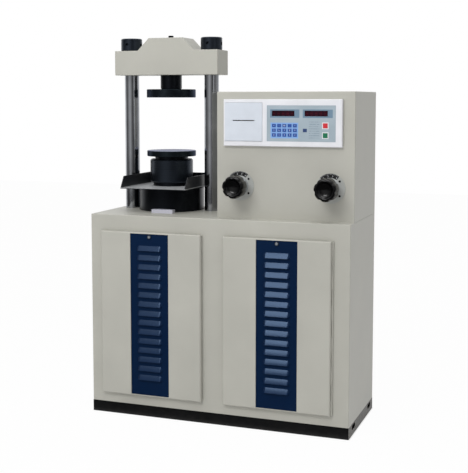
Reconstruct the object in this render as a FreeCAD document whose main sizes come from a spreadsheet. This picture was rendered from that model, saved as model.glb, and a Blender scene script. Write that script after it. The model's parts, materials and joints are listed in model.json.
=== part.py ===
import FreeCAD, Part
import math
import os
from collections import namedtuple
from types import SimpleNamespace

import Sketcher

# Flexural and compression testing machine, in millimetres.
# X runs to the right, Y to the back and Z up, from the middle of the plinth's foot on the floor.

SIZES = {
    # cabinet: a sheet steel housing on a channel plinth
    "frame_bay_width": 430,
    "cabinet_depth": 345,
    "cabinet_top": 668,
    "cabinet_sheet": 3,
    "cabinet_edge_radius": 2.5,
    "rear_lip": 15,
    "plinth_height": 37,
    "plinth_wall": 5,
    "plinth_flange": 30,
    "plinth_rail": 40,
    "slot_length": 44,
    "slot_height": 16,
    "slot_level": 24,
    "slot_from_front": 66,
    "slot_from_back": 54,
    "vent_width": 90,
    "vent_height": 5,
    "vent_pitch": 16,
    "vent_count": 9,
    "console_vent_level": 160,
    "console_vents": 6,
    "vent_level": 470,
    # doors with a louvred strip down the middle
    "left_door_margin": 38,
    "right_door_margin": 51,
    "doors_apart": 75,
    "door_height": 543,
    "door_bottom": 72,
    "door_depth": 14,
    "door_sheet": 2,
    "door_bevel": 3,
    "door_stand_off": 2,
    "door_overlap": 14,
    "door_top_overlap": 6,
    "strip_width": 135,
    "strip_rim": 4,
    "strip_recess": 4,
    "strip_sheet": 1.5,
    "louvre_width": 88,
    "louvre_height": 16,
    "louvre_rise": 8,
    "louvre_wall": 1.2,
    "louvre_corner": 7,
    "louvre_end": 4.5,
    "louvre_pitch": 30.6,
    "louvre_count": 15,
    "louvre_first": 43,
    "hinge_leaf": 1.5,
    "hinge_leaf_width": 12,
    "hinge_stand_off": 3.5,
    "knuckle_radius": 2.5,
    "hinge_pin_radius": 1.1,
    "knuckle_pairs": 5,
    "lock_from_top": 14,
    "lock_radius": 5,
    "lock_head_radius": 7,
    "lock_head": 2.5,
    "lock_slot": 1.2,
    "cam_reach": 24,
    "cam_width": 11,
    "cam_sheet": 2,
    # two-column load frame standing on the cabinet's left half
    "frame_from_left": 193,
    "frame_from_front": 228,
    "column_spacing": 297,
    "column_radius": 25,
    "column_chamfer": 2,
    "column_proud": 4,
    "column_short": 7,
    "beam_overhang": 38,
    "beam_depth": 216,
    "beam_height": 60,
    "stand_tube": 40,
    "stand_tube_wall": 3,
    "stand_rail_inset": 5,
    "stand_rail_level": 90,
    "stand_rail_height": 30,
    "crosshead_overhang": 40.5,
    "crosshead_depth": 100,
    "crosshead_arm": 83,
    "crosshead_hump": 42,
    "crosshead_edge_radius": 2,
    "hump_foot": 206,
    "hump_top": 124,
    "nut_radius": 36.5,
    "upper_nut_height": 43,
    "lower_nut_height": 34,
    "tommy_hole_radius": 6,
    "tommy_hole_depth": 8,
    "nut_chamfer": 3,
    "nut_grooves": 2,
    "nut_groove_pitch": 3.5,
    "groove_width": 1.6,
    "groove_depth": 1,
    # turned pieces of the press, from the cabinet's top upwards
    "cylinder_radius": 112,
    "cylinder_height": 80,
    "cylinder_bevel": 4,
    "barrel_radius": 82,
    "barrel_depth": 98,
    "barrel_floor": 22,
    "ram_radius": 62.5,
    "ram_bevel": 3,
    "ram_foot_gap": 8,
    "ram_rise": 15,
    "seal_groove": 6,
    "seal_level": 14,
    "ram_head_radius": 73.5,
    "ram_head_height": 79,
    "ram_head_bevel": 4,
    "ram_head_grooves": 4,
    "ram_head_groove_pitch": 9,
    "lower_seat_radius": 57,
    "lower_seat_height": 10,
    "lower_seat_rim": 8,
    "lower_seat_ball": 120,
    "lower_platen_radius": 84,
    "lower_platen_height": 19,
    "platen_bevel": 1.5,
    "test_height": 181,
    "upper_platen_radius": 84,
    "upper_platen_height": 28,
    "stem_radius": 36.5,
    "stem_height": 48,
    "stem_rim_gap": 2.2,
    "ball_radius": 45,
    "ball_gap": 0.3,
    "hanger_radius": 5,
    "hanger_throat_gap": 4,
    "hanger_head_radius": 13,
    "hanger_head": 6,
    "hanger_pocket_radius": 18,
    "hanger_pocket": 17,
    "hanger_slack": 2.4,
    "stem_cap": 10,
    "spring_wall": 1.6,
    "spring_pitch": 1.9,
    "spring_count": 3,
    "seat_gap": 0.7,
    "cap_bolt_radius": 6,
    "cap_bolt_head_radius": 9,
    "cap_bolt_head": 9,
    "tray_width": 235,
    "tray_front": 161,
    "tray_back": 97,
    "tray_sheet": 3,
    "tray_hole_gap": 1.5,
    "tray_wall": 38,
    "tray_slant": 24,
    "level_width": 76,
    "level_depth": 24,
    "level_height": 12,
    "level_rounding": 1.5,
    "level_shift": 24,
    "level_from_cylinder": 4,
    "level_well": 44,
    "level_well_depth": 5,
    "level_vial_radius": 3.5,
    # console with the instrument panel and the two oil valves
    "console_width": 450,
    "console_depth": 298,
    "console_height": 402,
    "console_edge_radius": 2.5,
    "hatch_margin": 22,
    "bezel_from_left": 26.5,
    "bezel_level": 231,
    "bezel_width": 385.5,
    "bezel_height": 147,
    "bezel_depth": 12,
    "bezel_bevel": 2,
    "bezel_lap": 10,
    "cover_from_left": 5.5,
    "cover_from_bottom": 15,
    "cover_width": 124,
    "cover_height": 122,
    "cover_sheet": 5,
    "cover_proud": 2,
    "cover_slit_width": 72,
    "cover_slit_height": 3,
    "cover_slit_level": 64,
    "cover_pin_radius": 1.2,
    "film_from_left": 138.5,
    "film_width": 228,
    "film_height": 115.5,
    "film_sheet": 1.2,
    "key_width": 12.6,
    "key_height": 10.5,
    "key_rise": 0.8,
    "key_pitch_across": 17,
    "key_pitch_up": 14.6,
    "key_columns": 5,
    "key_rows": 3,
    "keys_from_left": 23,
    "keys_from_bottom": 16,
    "mode_key_from_left": 123,
    "mode_key_from_bottom": 31,
    "start_key": 14,
    "start_key_from_left": 187,
    "start_key_from_bottom": 14,
    "start_key_pitch": 30,
    "start_keys": 2,
    "window_width": 73.5,
    "window_height": 17.5,
    "window_from_bottom": 79.5,
    "first_window_from_left": 22,
    "second_window_from_left": 128,
    "pane_sheet": 2,
    "pane_recess": 0.4,
    "pane_ledge": 2,
    "tub_depth": 96,
    "tub_wall": 2,
    "board_sheet": 1.6,
    "board_stand_off": 14,
    "board_post_radius": 3,
    "board_margin": 4,
    "board_post_inset": 6,
    "chip_from_left": 40,
    "chip_from_bottom": 24,
    "chip_side": 28,
    "chip_height": 4,
    "transformer_from_right": 22,
    "transformer_from_bottom": 20,
    "transformer_width": 40,
    "transformer_height": 36,
    "transformer_depth": 30,
    "frame_wall": 2,
    "frame_depth": 82,
    "frame_height": 108,
    "spindle_above_middle": 8,
    "print_bar_height": 18,
    "print_bar_depth": 16,
    "print_bar_inset": 4,
    "spindle_radius": 4,
    "spindle_collar": 3,
    "roll_radius": 23,
    "roll_width": 57,
    "valve_level": 104,
    "first_valve_from_left": 78,
    "valve_spacing": 296,
    "dial_radius": 47,
    "dial_sheet": 2,
    "collar_radius": 28.5,
    "collar_length": 18,
    "collar_bevel": 2,
    "valve_neck_radius": 18,
    "valve_neck": 20,
    "valve_block_margin": 38,
    "valve_block_height": 60,
    "valve_block_depth": 55,
    "valve_seat": 12,
    "stem_grip": 20,
    "valve_stem_radius": 7,
    "stem_point_radius": 2,
    "stem_taper": 8,
    "knob_radius": 40,
    "knob_depth": 46,
    "knob_back_bevel": 4,
    "knob_front_edge": 9,
    "knob_front_bevel": 3,
    "knob_hub_radius": 22,
    "knob_hub": 8,
    "knob_lobes": 7,
    "flute_radius": 15,
    "flute_depth": 4,
    # oil unit behind the right door
    "tank_from_divider": 60.5,
    "tank_width": 300,
    "tank_depth": 220,
    "tank_height": 190,
    "tank_wall": 3,
    "tank_foot": 14,
    "tank_foot_width": 25,
    "gauge_from_right": 40,
    "gauge_width": 16,
    "gauge_length": 90,
    "gauge_depth": 7,
    "drain_plug_radius": 11,
    "drain_plug_level": 24,
    "drain_plug": 7,
    "lid_sheet": 8,
    "lid_hole_gap": 4,
    "lid_lip": 8,
    "lid_corner_radius": 3,
    "filler_inset": 45,
    "filler_radius": 22,
    "filler_height": 24,
    "filler_neck_radius": 17,
    "filler_neck": 10,
    "motor_from_tank_middle": 40,
    "motor_radius": 70,
    "motor_height": 150,
    "motor_wall": 6,
    "motor_fin": 7,
    "motor_fin_sheet": 2.5,
    "motor_fins": 20,
    "terminal_box_width": 44,
    "terminal_box_height": 62,
    "terminal_box_level": 50,
    "terminal_box_depth": 16,
    "bell_radius": 58,
    "bell_height": 62,
    "bell_wall": 6,
    "bell_flange": 12,
    "bell_flange_sheet": 8,
    "bell_window_width": 44,
    "bell_window_low": 16,
    "bell_window_from_top": 12,
    "coupling_radius": 30,
    "coupling_foot": 10,
    "coupling_hub": 20,
    "coupling_joint": 4,
    "coupling_waist": 4,
    "shaft_radius": 12,
    "shaft_from_cowl": 12,
    "rotor_gap": 1.2,
    "rotor_length": 96,
    "pump_radius": 42,
    "pump_height": 96,
    "pump_bevel": 6,
    "pump_bore": 46,
    "fan_radius": 58,
    "fan_blades": 8,
    "fan_blade_sheet": 2.5,
    "fan_height": 20,
    "fan_hub": 8,
    "fan_from_motor": 6,
    "cowl_height": 46,
    "cowl_wall": 2,
    "cowl_lap": 8,
    "cowl_eye": 24,
    "cowl_slot_start": 30,
    "cowl_slot_end": 52,
    "cowl_slot_width": 6,
    "cowl_slots": 12,
    "pipe_radius": 6,
    "pipe_bend": 30,
    "pipe_nut_radius": 11,
    "pipe_nut": 14,
    "pipe_loop": 70,
    "feed_pipe_drop": 22,
    "riser_from_bell": 40,
    "riser_from_middle": 30,
    "riser_from_roof": 83,
    "drain_from_motor": 6,
    "drain_from_middle": 40,
    "drain_drop_height": 200,
    # starter gear on a plate across the back legs of the stand
    "plate_sheet": 3,
    "plate_height": 230,
    "plate_level": 190,
    "contactor_width": 45,
    "contactor_height": 82,
    "contactor_depth": 70,
    "contactor_pitch": 62,
    "contactor_from_left": 40,
    "contactor_level": 110,
    "contactor_nose": 12,
    "contactor_nose_inset": 6,
    "contactor_nose_margin": 18,
    "contactor_count": 4,
    # clearances
    "running_gap": 0.05,
    "fixed_gap": 0.5,
    "moving_gap": 0.3,
}

Circle = namedtuple("Circle", "across up radius")
Arc = namedtuple("Arc", "middle centre")


class Size:
    """A length with its present value and the formula that ties it to the sheet of sizes."""

    def __init__(self, value, formula):
        self.value = value
        self.formula = formula

    @staticmethod
    def of(other):
        if isinstance(other, Size):
            return other
        return Size(float(other), repr(float(other)))

    def join(self, sign, other, value):
        return Size(value, f"({self.formula} {sign} {other.formula})")

    def __add__(self, other):
        other = Size.of(other)
        return self.join("+", other, self.value + other.value)

    def __sub__(self, other):
        other = Size.of(other)
        return self.join("-", other, self.value - other.value)

    def __mul__(self, other):
        other = Size.of(other)
        return self.join("*", other, self.value * other.value)

    def __truediv__(self, other):
        other = Size.of(other)
        return self.join("/", other, self.value / other.value)

    def __radd__(self, other):
        return Size.of(other) + self

    def __rsub__(self, other):
        return Size.of(other) - self

    def __rmul__(self, other):
        return Size.of(other) * self

    def __neg__(self):
        return Size.of(0) - self

    def root(self):
        return Size(math.sqrt(self.value), f"sqrt({self.formula})")


def make_sheet():
    """Write every size into the document's sheet, one row each, and return them by name."""
    sheet = doc.addObject("Spreadsheet::Sheet", "sizes")
    for row, (name, value) in enumerate(SIZES.items(), start=1):
        sheet.set(f"A{row}", name)
        sheet.set(f"B{row}", str(value))
        sheet.setAlias(f"B{row}", name)
    doc.recompute()
    return SimpleNamespace(**{name: Size(float(value), "sizes." + name) for name, value in SIZES.items()})


def bind(thing, path, size):
    thing.setExpression(path, Size.of(size).formula)


def count(name):
    return int(SIZES[name])


doc = FreeCAD.newDocument("testing_machine")
s = make_sheet()

PLANES = {"top": "XY_Plane", "front": "XZ_Plane", "side": "YZ_Plane"}
FACING = {"top": "up", "front": "front", "side": "right"}
UPRIGHT = FreeCAD.Rotation()
TO_FRONT = FreeCAD.Rotation(FreeCAD.Vector(1, 0, 0), 90)
TO_RIGHT = FreeCAD.Rotation(FreeCAD.Vector(0, 1, 0), 90)
BEYOND = 1
CLOSE = 0.001
FULL_TURN = 360
CENTRE_POINT = 3
pieces = []


def rectangle(low_across, high_across, low_up, high_up):
    return [(low_across, low_up), (high_across, low_up), (high_across, high_up), (low_across, high_up)]


def oval(across, up, length, height):
    """A slot with half-round ends: its outline and the arcs of its two ends."""
    half = (length - height) / 2
    rise = height / 2
    points = [
        (across - half, up - rise),
        (across + half, up - rise),
        (across + half, up + rise),
        (across - half, up + rise),
    ]
    arcs = {
        1: Arc((across + half + rise, up), (across + half, up)),
        3: Arc((across - half - rise, up), (across - half, up)),
    }
    return points, arcs


class Piece:
    """One sub-part of the machine, drawn in sketches and built up from features."""

    def __init__(self, label, at=(0, 0, 0), turn=UPRIGHT):
        self.body = doc.addObject("PartDesign::Body", label)
        self.body.Label = label
        self.body.AllowCompound = True
        self.body.Placement = FreeCAD.Placement(FreeCAD.Vector(), turn)
        for axis, place in zip("xyz", at):
            bind(self.body, "Placement.Base." + axis, place)
        pieces.append(self.body)

    def datum(self, role):
        return next(item for item in self.body.Origin.OriginFeatures if item.Role == role)

    def sketch(self, plane, level, shapes):
        drawing = self.body.newObject("Sketcher::SketchObject", self.body.Name + "_sketch")
        drawing.AttachmentSupport = (self.datum(PLANES[plane]), [""])
        drawing.MapMode = "FlatFace"
        level = Size.of(level)
        bind(drawing, "AttachmentOffset.Base.z", -level if plane == "front" else level)
        for shape in shapes:
            if isinstance(shape, Circle):
                self.draw_circle(drawing, shape)
            elif isinstance(shape, tuple):
                self.draw_outline(drawing, *shape)
            else:
                self.draw_outline(drawing, shape, {})
        return drawing

    def hold(self, drawing, kind, edge, end, place):
        place = Size.of(place)
        rule = drawing.addConstraint(Sketcher.Constraint(kind, -1, 1, edge, end, place.value))
        drawing.setExpression(f"Constraints[{rule}]", place.formula)

    def pin_down(self, drawing, edge, end, across, up):
        self.hold(drawing, "DistanceX", edge, end, across)
        self.hold(drawing, "DistanceY", edge, end, up)

    def draw_circle(self, drawing, circle):
        across, up, radius = (Size.of(item) for item in circle)
        ring = Part.Circle(FreeCAD.Vector(across.value, up.value, 0), FreeCAD.Vector(0, 0, 1), radius.value)
        edge = drawing.addGeometry(ring, False)
        self.pin_down(drawing, edge, CENTRE_POINT, across, up)
        rule = drawing.addConstraint(Sketcher.Constraint("Radius", edge, radius.value))
        drawing.setExpression(f"Constraints[{rule}]", radius.formula)

    def draw_outline(self, drawing, points, arcs):
        places = [(Size.of(across), Size.of(up)) for across, up in points]
        corners = [FreeCAD.Vector(across.value, up.value, 0) for across, up in places]
        ends = []
        edges = []
        for i, corner in enumerate(corners):
            following = corners[(i + 1) % len(corners)]
            if i in arcs:
                middle = FreeCAD.Vector(*(Size.of(item).value for item in arcs[i].middle), 0)
                forward = (following - corner).cross(middle - corner).z < 0
                first, last = (corner, following) if forward else (following, corner)
                edge = drawing.addGeometry(Part.Arc(first, middle, last), False)
                ends.append((1, 2) if forward else (2, 1))
            else:
                edge = drawing.addGeometry(Part.LineSegment(corner, following), False)
                ends.append((1, 2))
            edges.append(edge)
        for i, edge in enumerate(edges):
            after = (i + 1) % len(edges)
            joined = (edge, ends[i][1], edges[after], ends[after][0])
            drawing.addConstraint(Sketcher.Constraint("Coincident", *joined))
            self.pin_down(drawing, edge, ends[i][0], *places[i])
        for i, arc in arcs.items():
            chord = corners[(i + 1) % len(corners)] - corners[i]
            flat = abs(chord.x) > abs(chord.y)
            kind, place = ("DistanceY", arc.centre[1]) if flat else ("DistanceX", arc.centre[0])
            self.hold(drawing, kind, edges[i], CENTRE_POINT, place)

    def feature(self, kind, drawing, length, backwards, both_ways=False):
        made = self.body.newObject("PartDesign::" + kind, f"{self.body.Name}_{kind.lower()}")
        made.Profile = drawing
        bind(made, "Length", length)
        made.Reversed = backwards
        made.Midplane = both_ways
        self.body.Tip = made
        return made

    def add(self, plane, level, toward, length, *shapes):
        """Raise the shapes from a plane at a level; toward names the way, or both for half each way."""
        drawing = self.sketch(plane, level, shapes)
        return self.feature("Pad", drawing, length, toward not in (FACING[plane], "both"), toward == "both")

    def cut(self, plane, level, toward, length, *shapes):
        drawing = self.sketch(plane, level, shapes)
        return self.feature("Pocket", drawing, length, toward == FACING[plane], toward == "both")

    def turned(self, *profiles):
        """Spin profiles of radius and height about the piece's own upright axis."""
        drawing = self.sketch("front", 0, profiles)
        made = self.body.newObject("PartDesign::Revolution", self.body.Name + "_revolution")
        made.Profile = drawing
        made.ReferenceAxis = (drawing, ["V_Axis"])
        made.Angle = FULL_TURN
        self.body.Tip = made
        return made

    def row(self, features, axis, pitch, copies):
        made = self.body.newObject("PartDesign::LinearPattern", self.body.Name + "_row")
        made.Originals = features
        made.Direction = (self.datum(axis + "_Axis"), [""])
        made.Occurrences = copies
        bind(made, "Length", pitch * (copies - 1))
        self.body.Tip = made
        return made

    def ring(self, features, copies):
        made = self.body.newObject("PartDesign::PolarPattern", self.body.Name + "_ring")
        made.Originals = features
        made.Axis = (self.datum("Z_Axis"), [""])
        made.Angle = FULL_TURN
        made.Occurrences = copies
        self.body.Tip = made
        return made

    def dress(self, kind, size, wanted):
        """Fillet or chamfer the edges of the present shape that wanted() picks by their middle."""
        doc.recompute()
        base = self.body.Tip
        names = []
        for number, edge in enumerate(base.Shape.Edges, start=1):
            if wanted(edge, edge.CenterOfMass):
                names.append(f"Edge{number}")
        made = self.body.newObject("PartDesign::" + kind, f"{self.body.Name}_{kind.lower()}")
        made.Base = (base, names)
        bind(made, "Radius" if kind == "Fillet" else "Size", size)
        self.body.Tip = made
        return made


def near(value, size):
    return abs(value - Size.of(size).value) < CLOSE


def level_edge(edge):
    return abs(edge.BoundBox.ZLength) < CLOSE


# Places that several pieces share
cabinet_width = s.frame_bay_width + s.console_width
left = -cabinet_width / 2
right = cabinet_width / 2
front = -s.cabinet_depth / 2
back = s.cabinet_depth / 2
cabinet_floor = s.plinth_height + s.cabinet_sheet
cabinet_roof = s.cabinet_top - s.cabinet_sheet
door_width = (cabinet_width - s.left_door_margin - s.doors_apart - s.right_door_margin) / 2
divider = left + s.left_door_margin + door_width + s.doors_apart / 2
frame_x = left + s.frame_from_left
frame_y = front + s.frame_from_front
column_places = [frame_x - s.column_spacing / 2, frame_x + s.column_spacing / 2]

door_lefts = {"left": left + s.left_door_margin, "right": right - s.right_door_margin - door_width}
door_top = s.door_bottom + s.door_height
door_back = front - s.door_stand_off
door_face = door_back - s.door_depth
strip_floor = door_face + s.strip_recess
strip_face = strip_floor - s.strip_sheet
lock_level = door_top - s.lock_from_top

beam_top = cabinet_roof
beam_bottom = beam_top - s.beam_height
tray_bottom = s.cabinet_top + s.cylinder_height
tray_floor = tray_bottom + s.tray_sheet
ram_foot = s.cabinet_top - s.barrel_depth + s.barrel_floor + s.ram_foot_gap
ram_top = tray_bottom + s.ram_rise
ram_head_top = ram_top + s.ram_head_height
lower_seat_top = ram_head_top + s.lower_seat_height
lower_platen_top = lower_seat_top + s.lower_platen_height
upper_platen_face = lower_platen_top + s.test_height
upper_platen_back = upper_platen_face + s.upper_platen_height
crosshead_bottom = upper_platen_back + s.stem_height
crosshead_arm_top = crosshead_bottom + s.crosshead_arm
crosshead_top = crosshead_arm_top + s.crosshead_hump

console_left = right - s.console_width
console_front = back - s.console_depth
console_top = s.cabinet_top + s.console_height
console_inside = console_front + s.cabinet_sheet
bezel_left = console_left + s.bezel_from_left
bezel_right = bezel_left + s.bezel_width
bezel_bottom = s.cabinet_top + s.bezel_level
bezel_top = bezel_bottom + s.bezel_height
bezel_face = console_front - s.bezel_depth
cover_left = bezel_left + s.cover_from_left
cover_right = cover_left + s.cover_width
cover_bottom = bezel_bottom + s.cover_from_bottom
cover_roof = cover_bottom + s.cover_height
cover_middle = (cover_left + cover_right) / 2
cover_face = bezel_face - s.cover_proud
cover_pivot_y = cover_face + s.cover_sheet / 2
cover_pivot_z = cover_bottom + s.fixed_gap + s.cover_sheet / 2
valve_z = s.cabinet_top + s.valve_level
feed_pipe_y = console_inside + s.valve_block_depth / 2
pipe_level = beam_bottom - s.feed_pipe_drop
first_valve = console_left + s.first_valve_from_left
valve_places = [first_valve, first_valve + s.valve_spacing]


def make_plinth():
    """Channel frame with a rail across its middle, a flange on top and oval slots at its ends."""
    plinth = Piece("plinth")
    plinth.add("top", 0, "up", s.plinth_height, rectangle(left, right, front, back))
    wall = s.plinth_wall
    inner = rectangle(left + wall, right - wall, front + wall, back - wall)
    plinth.cut("top", 0, "up", s.plinth_height - wall, inner)
    reach = wall + s.plinth_flange
    opening = rectangle(left + reach, right - reach, front + reach, back - reach)
    plinth.cut("top", 0, "up", s.plinth_height, opening)
    half = s.plinth_rail / 2
    rail = rectangle(-half, half, front + wall, back - wall)
    plinth.add("top", 0, "up", s.plinth_height, rail)
    slots = [
        oval(front + s.slot_from_front, s.slot_level, s.slot_length, s.slot_height),
        oval(back - s.slot_from_back, s.slot_level, s.slot_length, s.slot_height),
    ]
    plinth.cut("side", 0, "both", cabinet_width + 2 * BEYOND, *slots)


def bay(low, high, inset):
    return rectangle(low + inset, high - inset, cabinet_floor + inset, cabinet_roof - inset)


def make_cabinet():
    """Two bays side by side, each with a door opening in front and lips for the panel behind."""
    shell = Piece("cabinet_shell")
    outline = rectangle(left, right, front, back)
    shell.add("top", s.plinth_height, "up", s.cabinet_top - s.plinth_height, outline)
    far_left = left + s.cabinet_sheet
    far_right = right - s.cabinet_sheet
    divider_left = divider - s.cabinet_sheet / 2
    divider_right = divider + s.cabinet_sheet / 2
    lip_back = back - s.cabinet_sheet
    shell.cut("front", back, "front", s.cabinet_sheet, bay(far_left, far_right, Size.of(0)))
    lips = [bay(far_left, divider_left, s.rear_lip), bay(divider_right, far_right, s.rear_lip)]
    shell.cut("front", lip_back, "front", s.cabinet_sheet, *lips)
    bays = [bay(far_left, divider_left, Size.of(0)), bay(divider_right, far_right, Size.of(0))]
    deep = s.cabinet_depth - 3 * s.cabinet_sheet
    shell.cut("front", lip_back - s.cabinet_sheet, "front", deep, *bays)
    openings = []
    for door_left in door_lefts.values():
        low = door_left + s.door_overlap
        high = door_left + door_width - s.door_overlap
        openings.append(rectangle(low, high, s.door_bottom + s.door_overlap, door_top - s.door_top_overlap))
    shell.cut("front", front, "back", s.cabinet_sheet, *openings)
    holes = [Circle(x, frame_y, s.column_radius + s.fixed_gap) for x in column_places]
    holes.append(Circle(frame_x, frame_y, s.barrel_radius + s.fixed_gap))
    shell.cut("top", s.cabinet_top, "down", s.cabinet_sheet, hatch(), *holes)
    pipe_hole = Circle(feed_pipe_y, pipe_level, s.pipe_radius * 2)
    shell.cut("side", divider, "both", s.cabinet_sheet * 2, pipe_hole)

    def outer_corner(edge, middle):
        upright = abs(edge.BoundBox.ZLength) > s.cabinet_top.value / 2
        at_side = near(abs(middle.x), right)
        at_end = near(abs(middle.y), back)
        top_rim = level_edge(edge) and near(middle.z, s.cabinet_top) and (at_side or at_end)
        return (upright and at_side and at_end) or (top_rim and edge.Length > s.cabinet_depth.value / 2)

    shell.dress("Fillet", s.cabinet_edge_radius, outer_corner)

    panel = Piece("rear_panel")
    edge = s.fixed_gap
    panel.add("front", back, "front", s.cabinet_sheet, bay(far_left, far_right, edge))
    vents = []
    for middle in (left + cabinet_width / 4, right - cabinet_width / 4):
        vents.append(oval(middle - s.vent_width, s.vent_level, s.vent_width, s.vent_height))
        vents.append(oval(middle + s.vent_width, s.vent_level, s.vent_width, s.vent_height))
    first = panel.cut("front", back, "front", s.cabinet_sheet, *vents)
    panel.row([first], "Z", s.vent_pitch, count("vent_count"))


def hatch():
    """Opening between the right bay and the console, for the oil pipes and the wiring."""
    margin = s.hatch_margin
    return rectangle(console_left + margin, right - margin, console_front + margin, back - margin)


def make_door(side):
    """A shallow tray of folded sheet with a recess for its louvred strip, hung on a rolled edge."""
    low = door_lefts[side]
    high = low + door_width
    middle = low + door_width / 2
    outward = -1 if side == "left" else 1
    edge = low if side == "left" else high
    pivot = edge - outward * s.knuckle_radius
    if side == "left":
        low = pivot + s.knuckle_radius + s.moving_gap
    else:
        high = pivot - s.knuckle_radius - s.moving_gap
    tray = Piece(f"door_{side}")
    tray.add("front", door_back, "front", s.door_depth, rectangle(low, high, s.door_bottom, door_top))

    def face_rim(edge, at):
        return near(at.y, door_face)

    tray.dress("Chamfer", s.door_bevel, face_rim)
    wall = s.door_sheet
    strip_low = middle - s.strip_width / 2
    strip_high = middle + s.strip_width / 2
    bottom = s.door_bottom + wall
    top = door_top - wall
    sides = [
        rectangle(low + wall, strip_low - wall, bottom, top),
        rectangle(strip_high + wall, high - wall, bottom, top),
    ]
    tray.cut("front", door_back, "front", s.door_depth - wall, *sides)
    centre = rectangle(strip_low - 2 * wall, strip_high + 2 * wall, bottom, top)
    tray.cut("front", door_back, "front", s.door_depth - wall - s.strip_recess, centre)
    rim = s.strip_rim
    recess = rectangle(strip_low, strip_high, s.door_bottom + rim, door_top - rim)
    tray.cut("front", door_face, "back", s.strip_recess, recess)
    vent_top = door_top - s.louvre_first
    vent_bottom = vent_top - s.louvre_height - s.louvre_pitch * (count("louvre_count") - 1)
    half = s.louvre_width / 2
    vent = rectangle(middle - half, middle + half, vent_bottom, vent_top)
    lock = Circle(middle, lock_level, s.lock_radius + s.moving_gap)
    tray.cut("front", strip_floor, "back", wall, vent, lock)

    pitch = s.door_height / (2 * count("knuckle_pairs") + 1)
    length = pitch - s.moving_gap * 2
    start = s.door_bottom + s.moving_gap
    hinge_y = front - s.hinge_stand_off
    leaf_low = hinge_y - s.knuckle_radius
    knuckle = tray.add("top", start, "up", length, Circle(pivot, hinge_y, s.knuckle_radius))
    leaf_x = sorted([pivot, edge_of(low, high, side)], key=lambda place: place.value)
    leaf = tray.add("top", start, "up", length, rectangle(*leaf_x, leaf_low, leaf_low + s.hinge_leaf))
    tray.row([knuckle, leaf], "Z", pitch * 2, count("knuckle_pairs") + 1)
    bore = Circle(pivot, hinge_y, s.hinge_pin_radius + s.running_gap)
    tray.cut("top", s.door_bottom - BEYOND, "up", s.door_height + 2 * BEYOND, bore)
    return pivot, outward


def edge_of(low, high, side):
    """The door's folded edge next to its hinge."""
    return low if side == "left" else high


def make_hinges(pivots):
    """Fixed leaves with knuckles between those of the doors, and the pins of the doors and the cover."""
    hinge_y = front - s.hinge_stand_off
    pairs = count("knuckle_pairs")
    pitch = s.door_height / (2 * pairs + 1)
    start = s.door_bottom + pitch + s.moving_gap
    length = pitch - s.moving_gap * 2
    leaves = Piece("hinge_leaves")
    strips = []
    webs = []
    knuckles = []
    bores = []
    for pivot, outward in pivots:
        near_x = pivot - outward * (s.knuckle_radius + s.moving_gap * 2)
        far_x = near_x - outward * s.hinge_leaf_width
        strip_x = sorted([near_x, far_x], key=lambda place: place.value)
        web_x = sorted([pivot, near_x], key=lambda place: place.value)
        strips.append(rectangle(*strip_x, front - s.hinge_leaf, front))
        webs.append(rectangle(*web_x, front - s.hinge_leaf, front))
        knuckles.append(Circle(pivot, hinge_y, s.knuckle_radius))
        bores.append(Circle(pivot, hinge_y, s.hinge_pin_radius + s.running_gap))
    leaves.add("top", s.door_bottom, "up", s.door_height, *strips)
    web = leaves.add("top", start, "up", length, *webs)
    knuckle = leaves.add("top", start, "up", length, *knuckles)
    leaves.row([web, knuckle], "Z", pitch * 2, pairs)
    leaves.cut("top", s.door_bottom, "up", s.door_height, *bores)

    pins = Piece("hinge_pins")
    rods = [Circle(pivot, hinge_y, s.hinge_pin_radius) for pivot, outward in pivots]
    pins.add("top", s.door_bottom, "up", s.door_height, *rods)
    cover_pin = Circle(cover_pivot_y, cover_pivot_z, s.cover_pin_radius)
    pins.add("side", cover_middle, "both", s.cover_width, cover_pin)


def make_strip(side):
    """Pressed steel strip with a column of louvres, each a curved hood open below."""
    middle = door_lefts[side] + door_width / 2
    gap = s.moving_gap
    half = s.strip_width / 2 - gap
    bottom = s.door_bottom + s.strip_rim + gap
    top = door_top - s.strip_rim - gap
    strip = Piece(f"louvre_strip_{side}")
    outline = rectangle(middle - half, middle + half, bottom, top)
    strip.add("front", strip_floor, "front", s.strip_sheet, outline)
    strip.cut("front", strip_floor, "front", s.strip_sheet, Circle(middle, lock_level, s.lock_radius + gap))

    copies = count("louvre_count")
    hood_top = door_top - s.louvre_first - s.louvre_pitch * (copies - 1)
    hood_lip = hood_top - s.louvre_height
    rise = s.louvre_rise
    wall = s.louvre_wall
    lip_y = strip_face - rise
    outer, outer_arc = hood(strip_face, hood_top, lip_y, hood_lip)
    skin = strip.add("side", middle, "both", s.louvre_width, (outer, outer_arc))
    corners = [hood_corner(middle, way, hood_top) for way in (-1, 1)]
    rounded = strip.cut("front", lip_y, "back", rise, *corners)
    inner, inner_arc = hood(strip_face, hood_top - wall, lip_y + wall, hood_lip)
    open_width = s.louvre_width - 2 * s.louvre_end
    hollow = strip.cut("side", middle, "both", open_width, (inner, inner_arc))
    through = rectangle(strip_face, strip_floor, hood_lip, hood_top - wall)
    slot = strip.cut("side", middle, "both", open_width, through)
    strip.row([skin, rounded, hollow, slot], "Z", s.louvre_pitch, copies)


def hood_corner(middle, way, top):
    """The bit outside the rounded upper corner of a louvre, seen from the front."""
    radius = s.louvre_corner
    end = middle + way * s.louvre_width / 2
    bend = radius * math.sqrt(0.5)
    centre = (end - way * radius, top - radius)
    points = [(end, top), (end - way * radius, top), (end, top - radius)]
    return points, {1: Arc((centre[0] + way * bend, centre[1] + bend), centre)}


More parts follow.
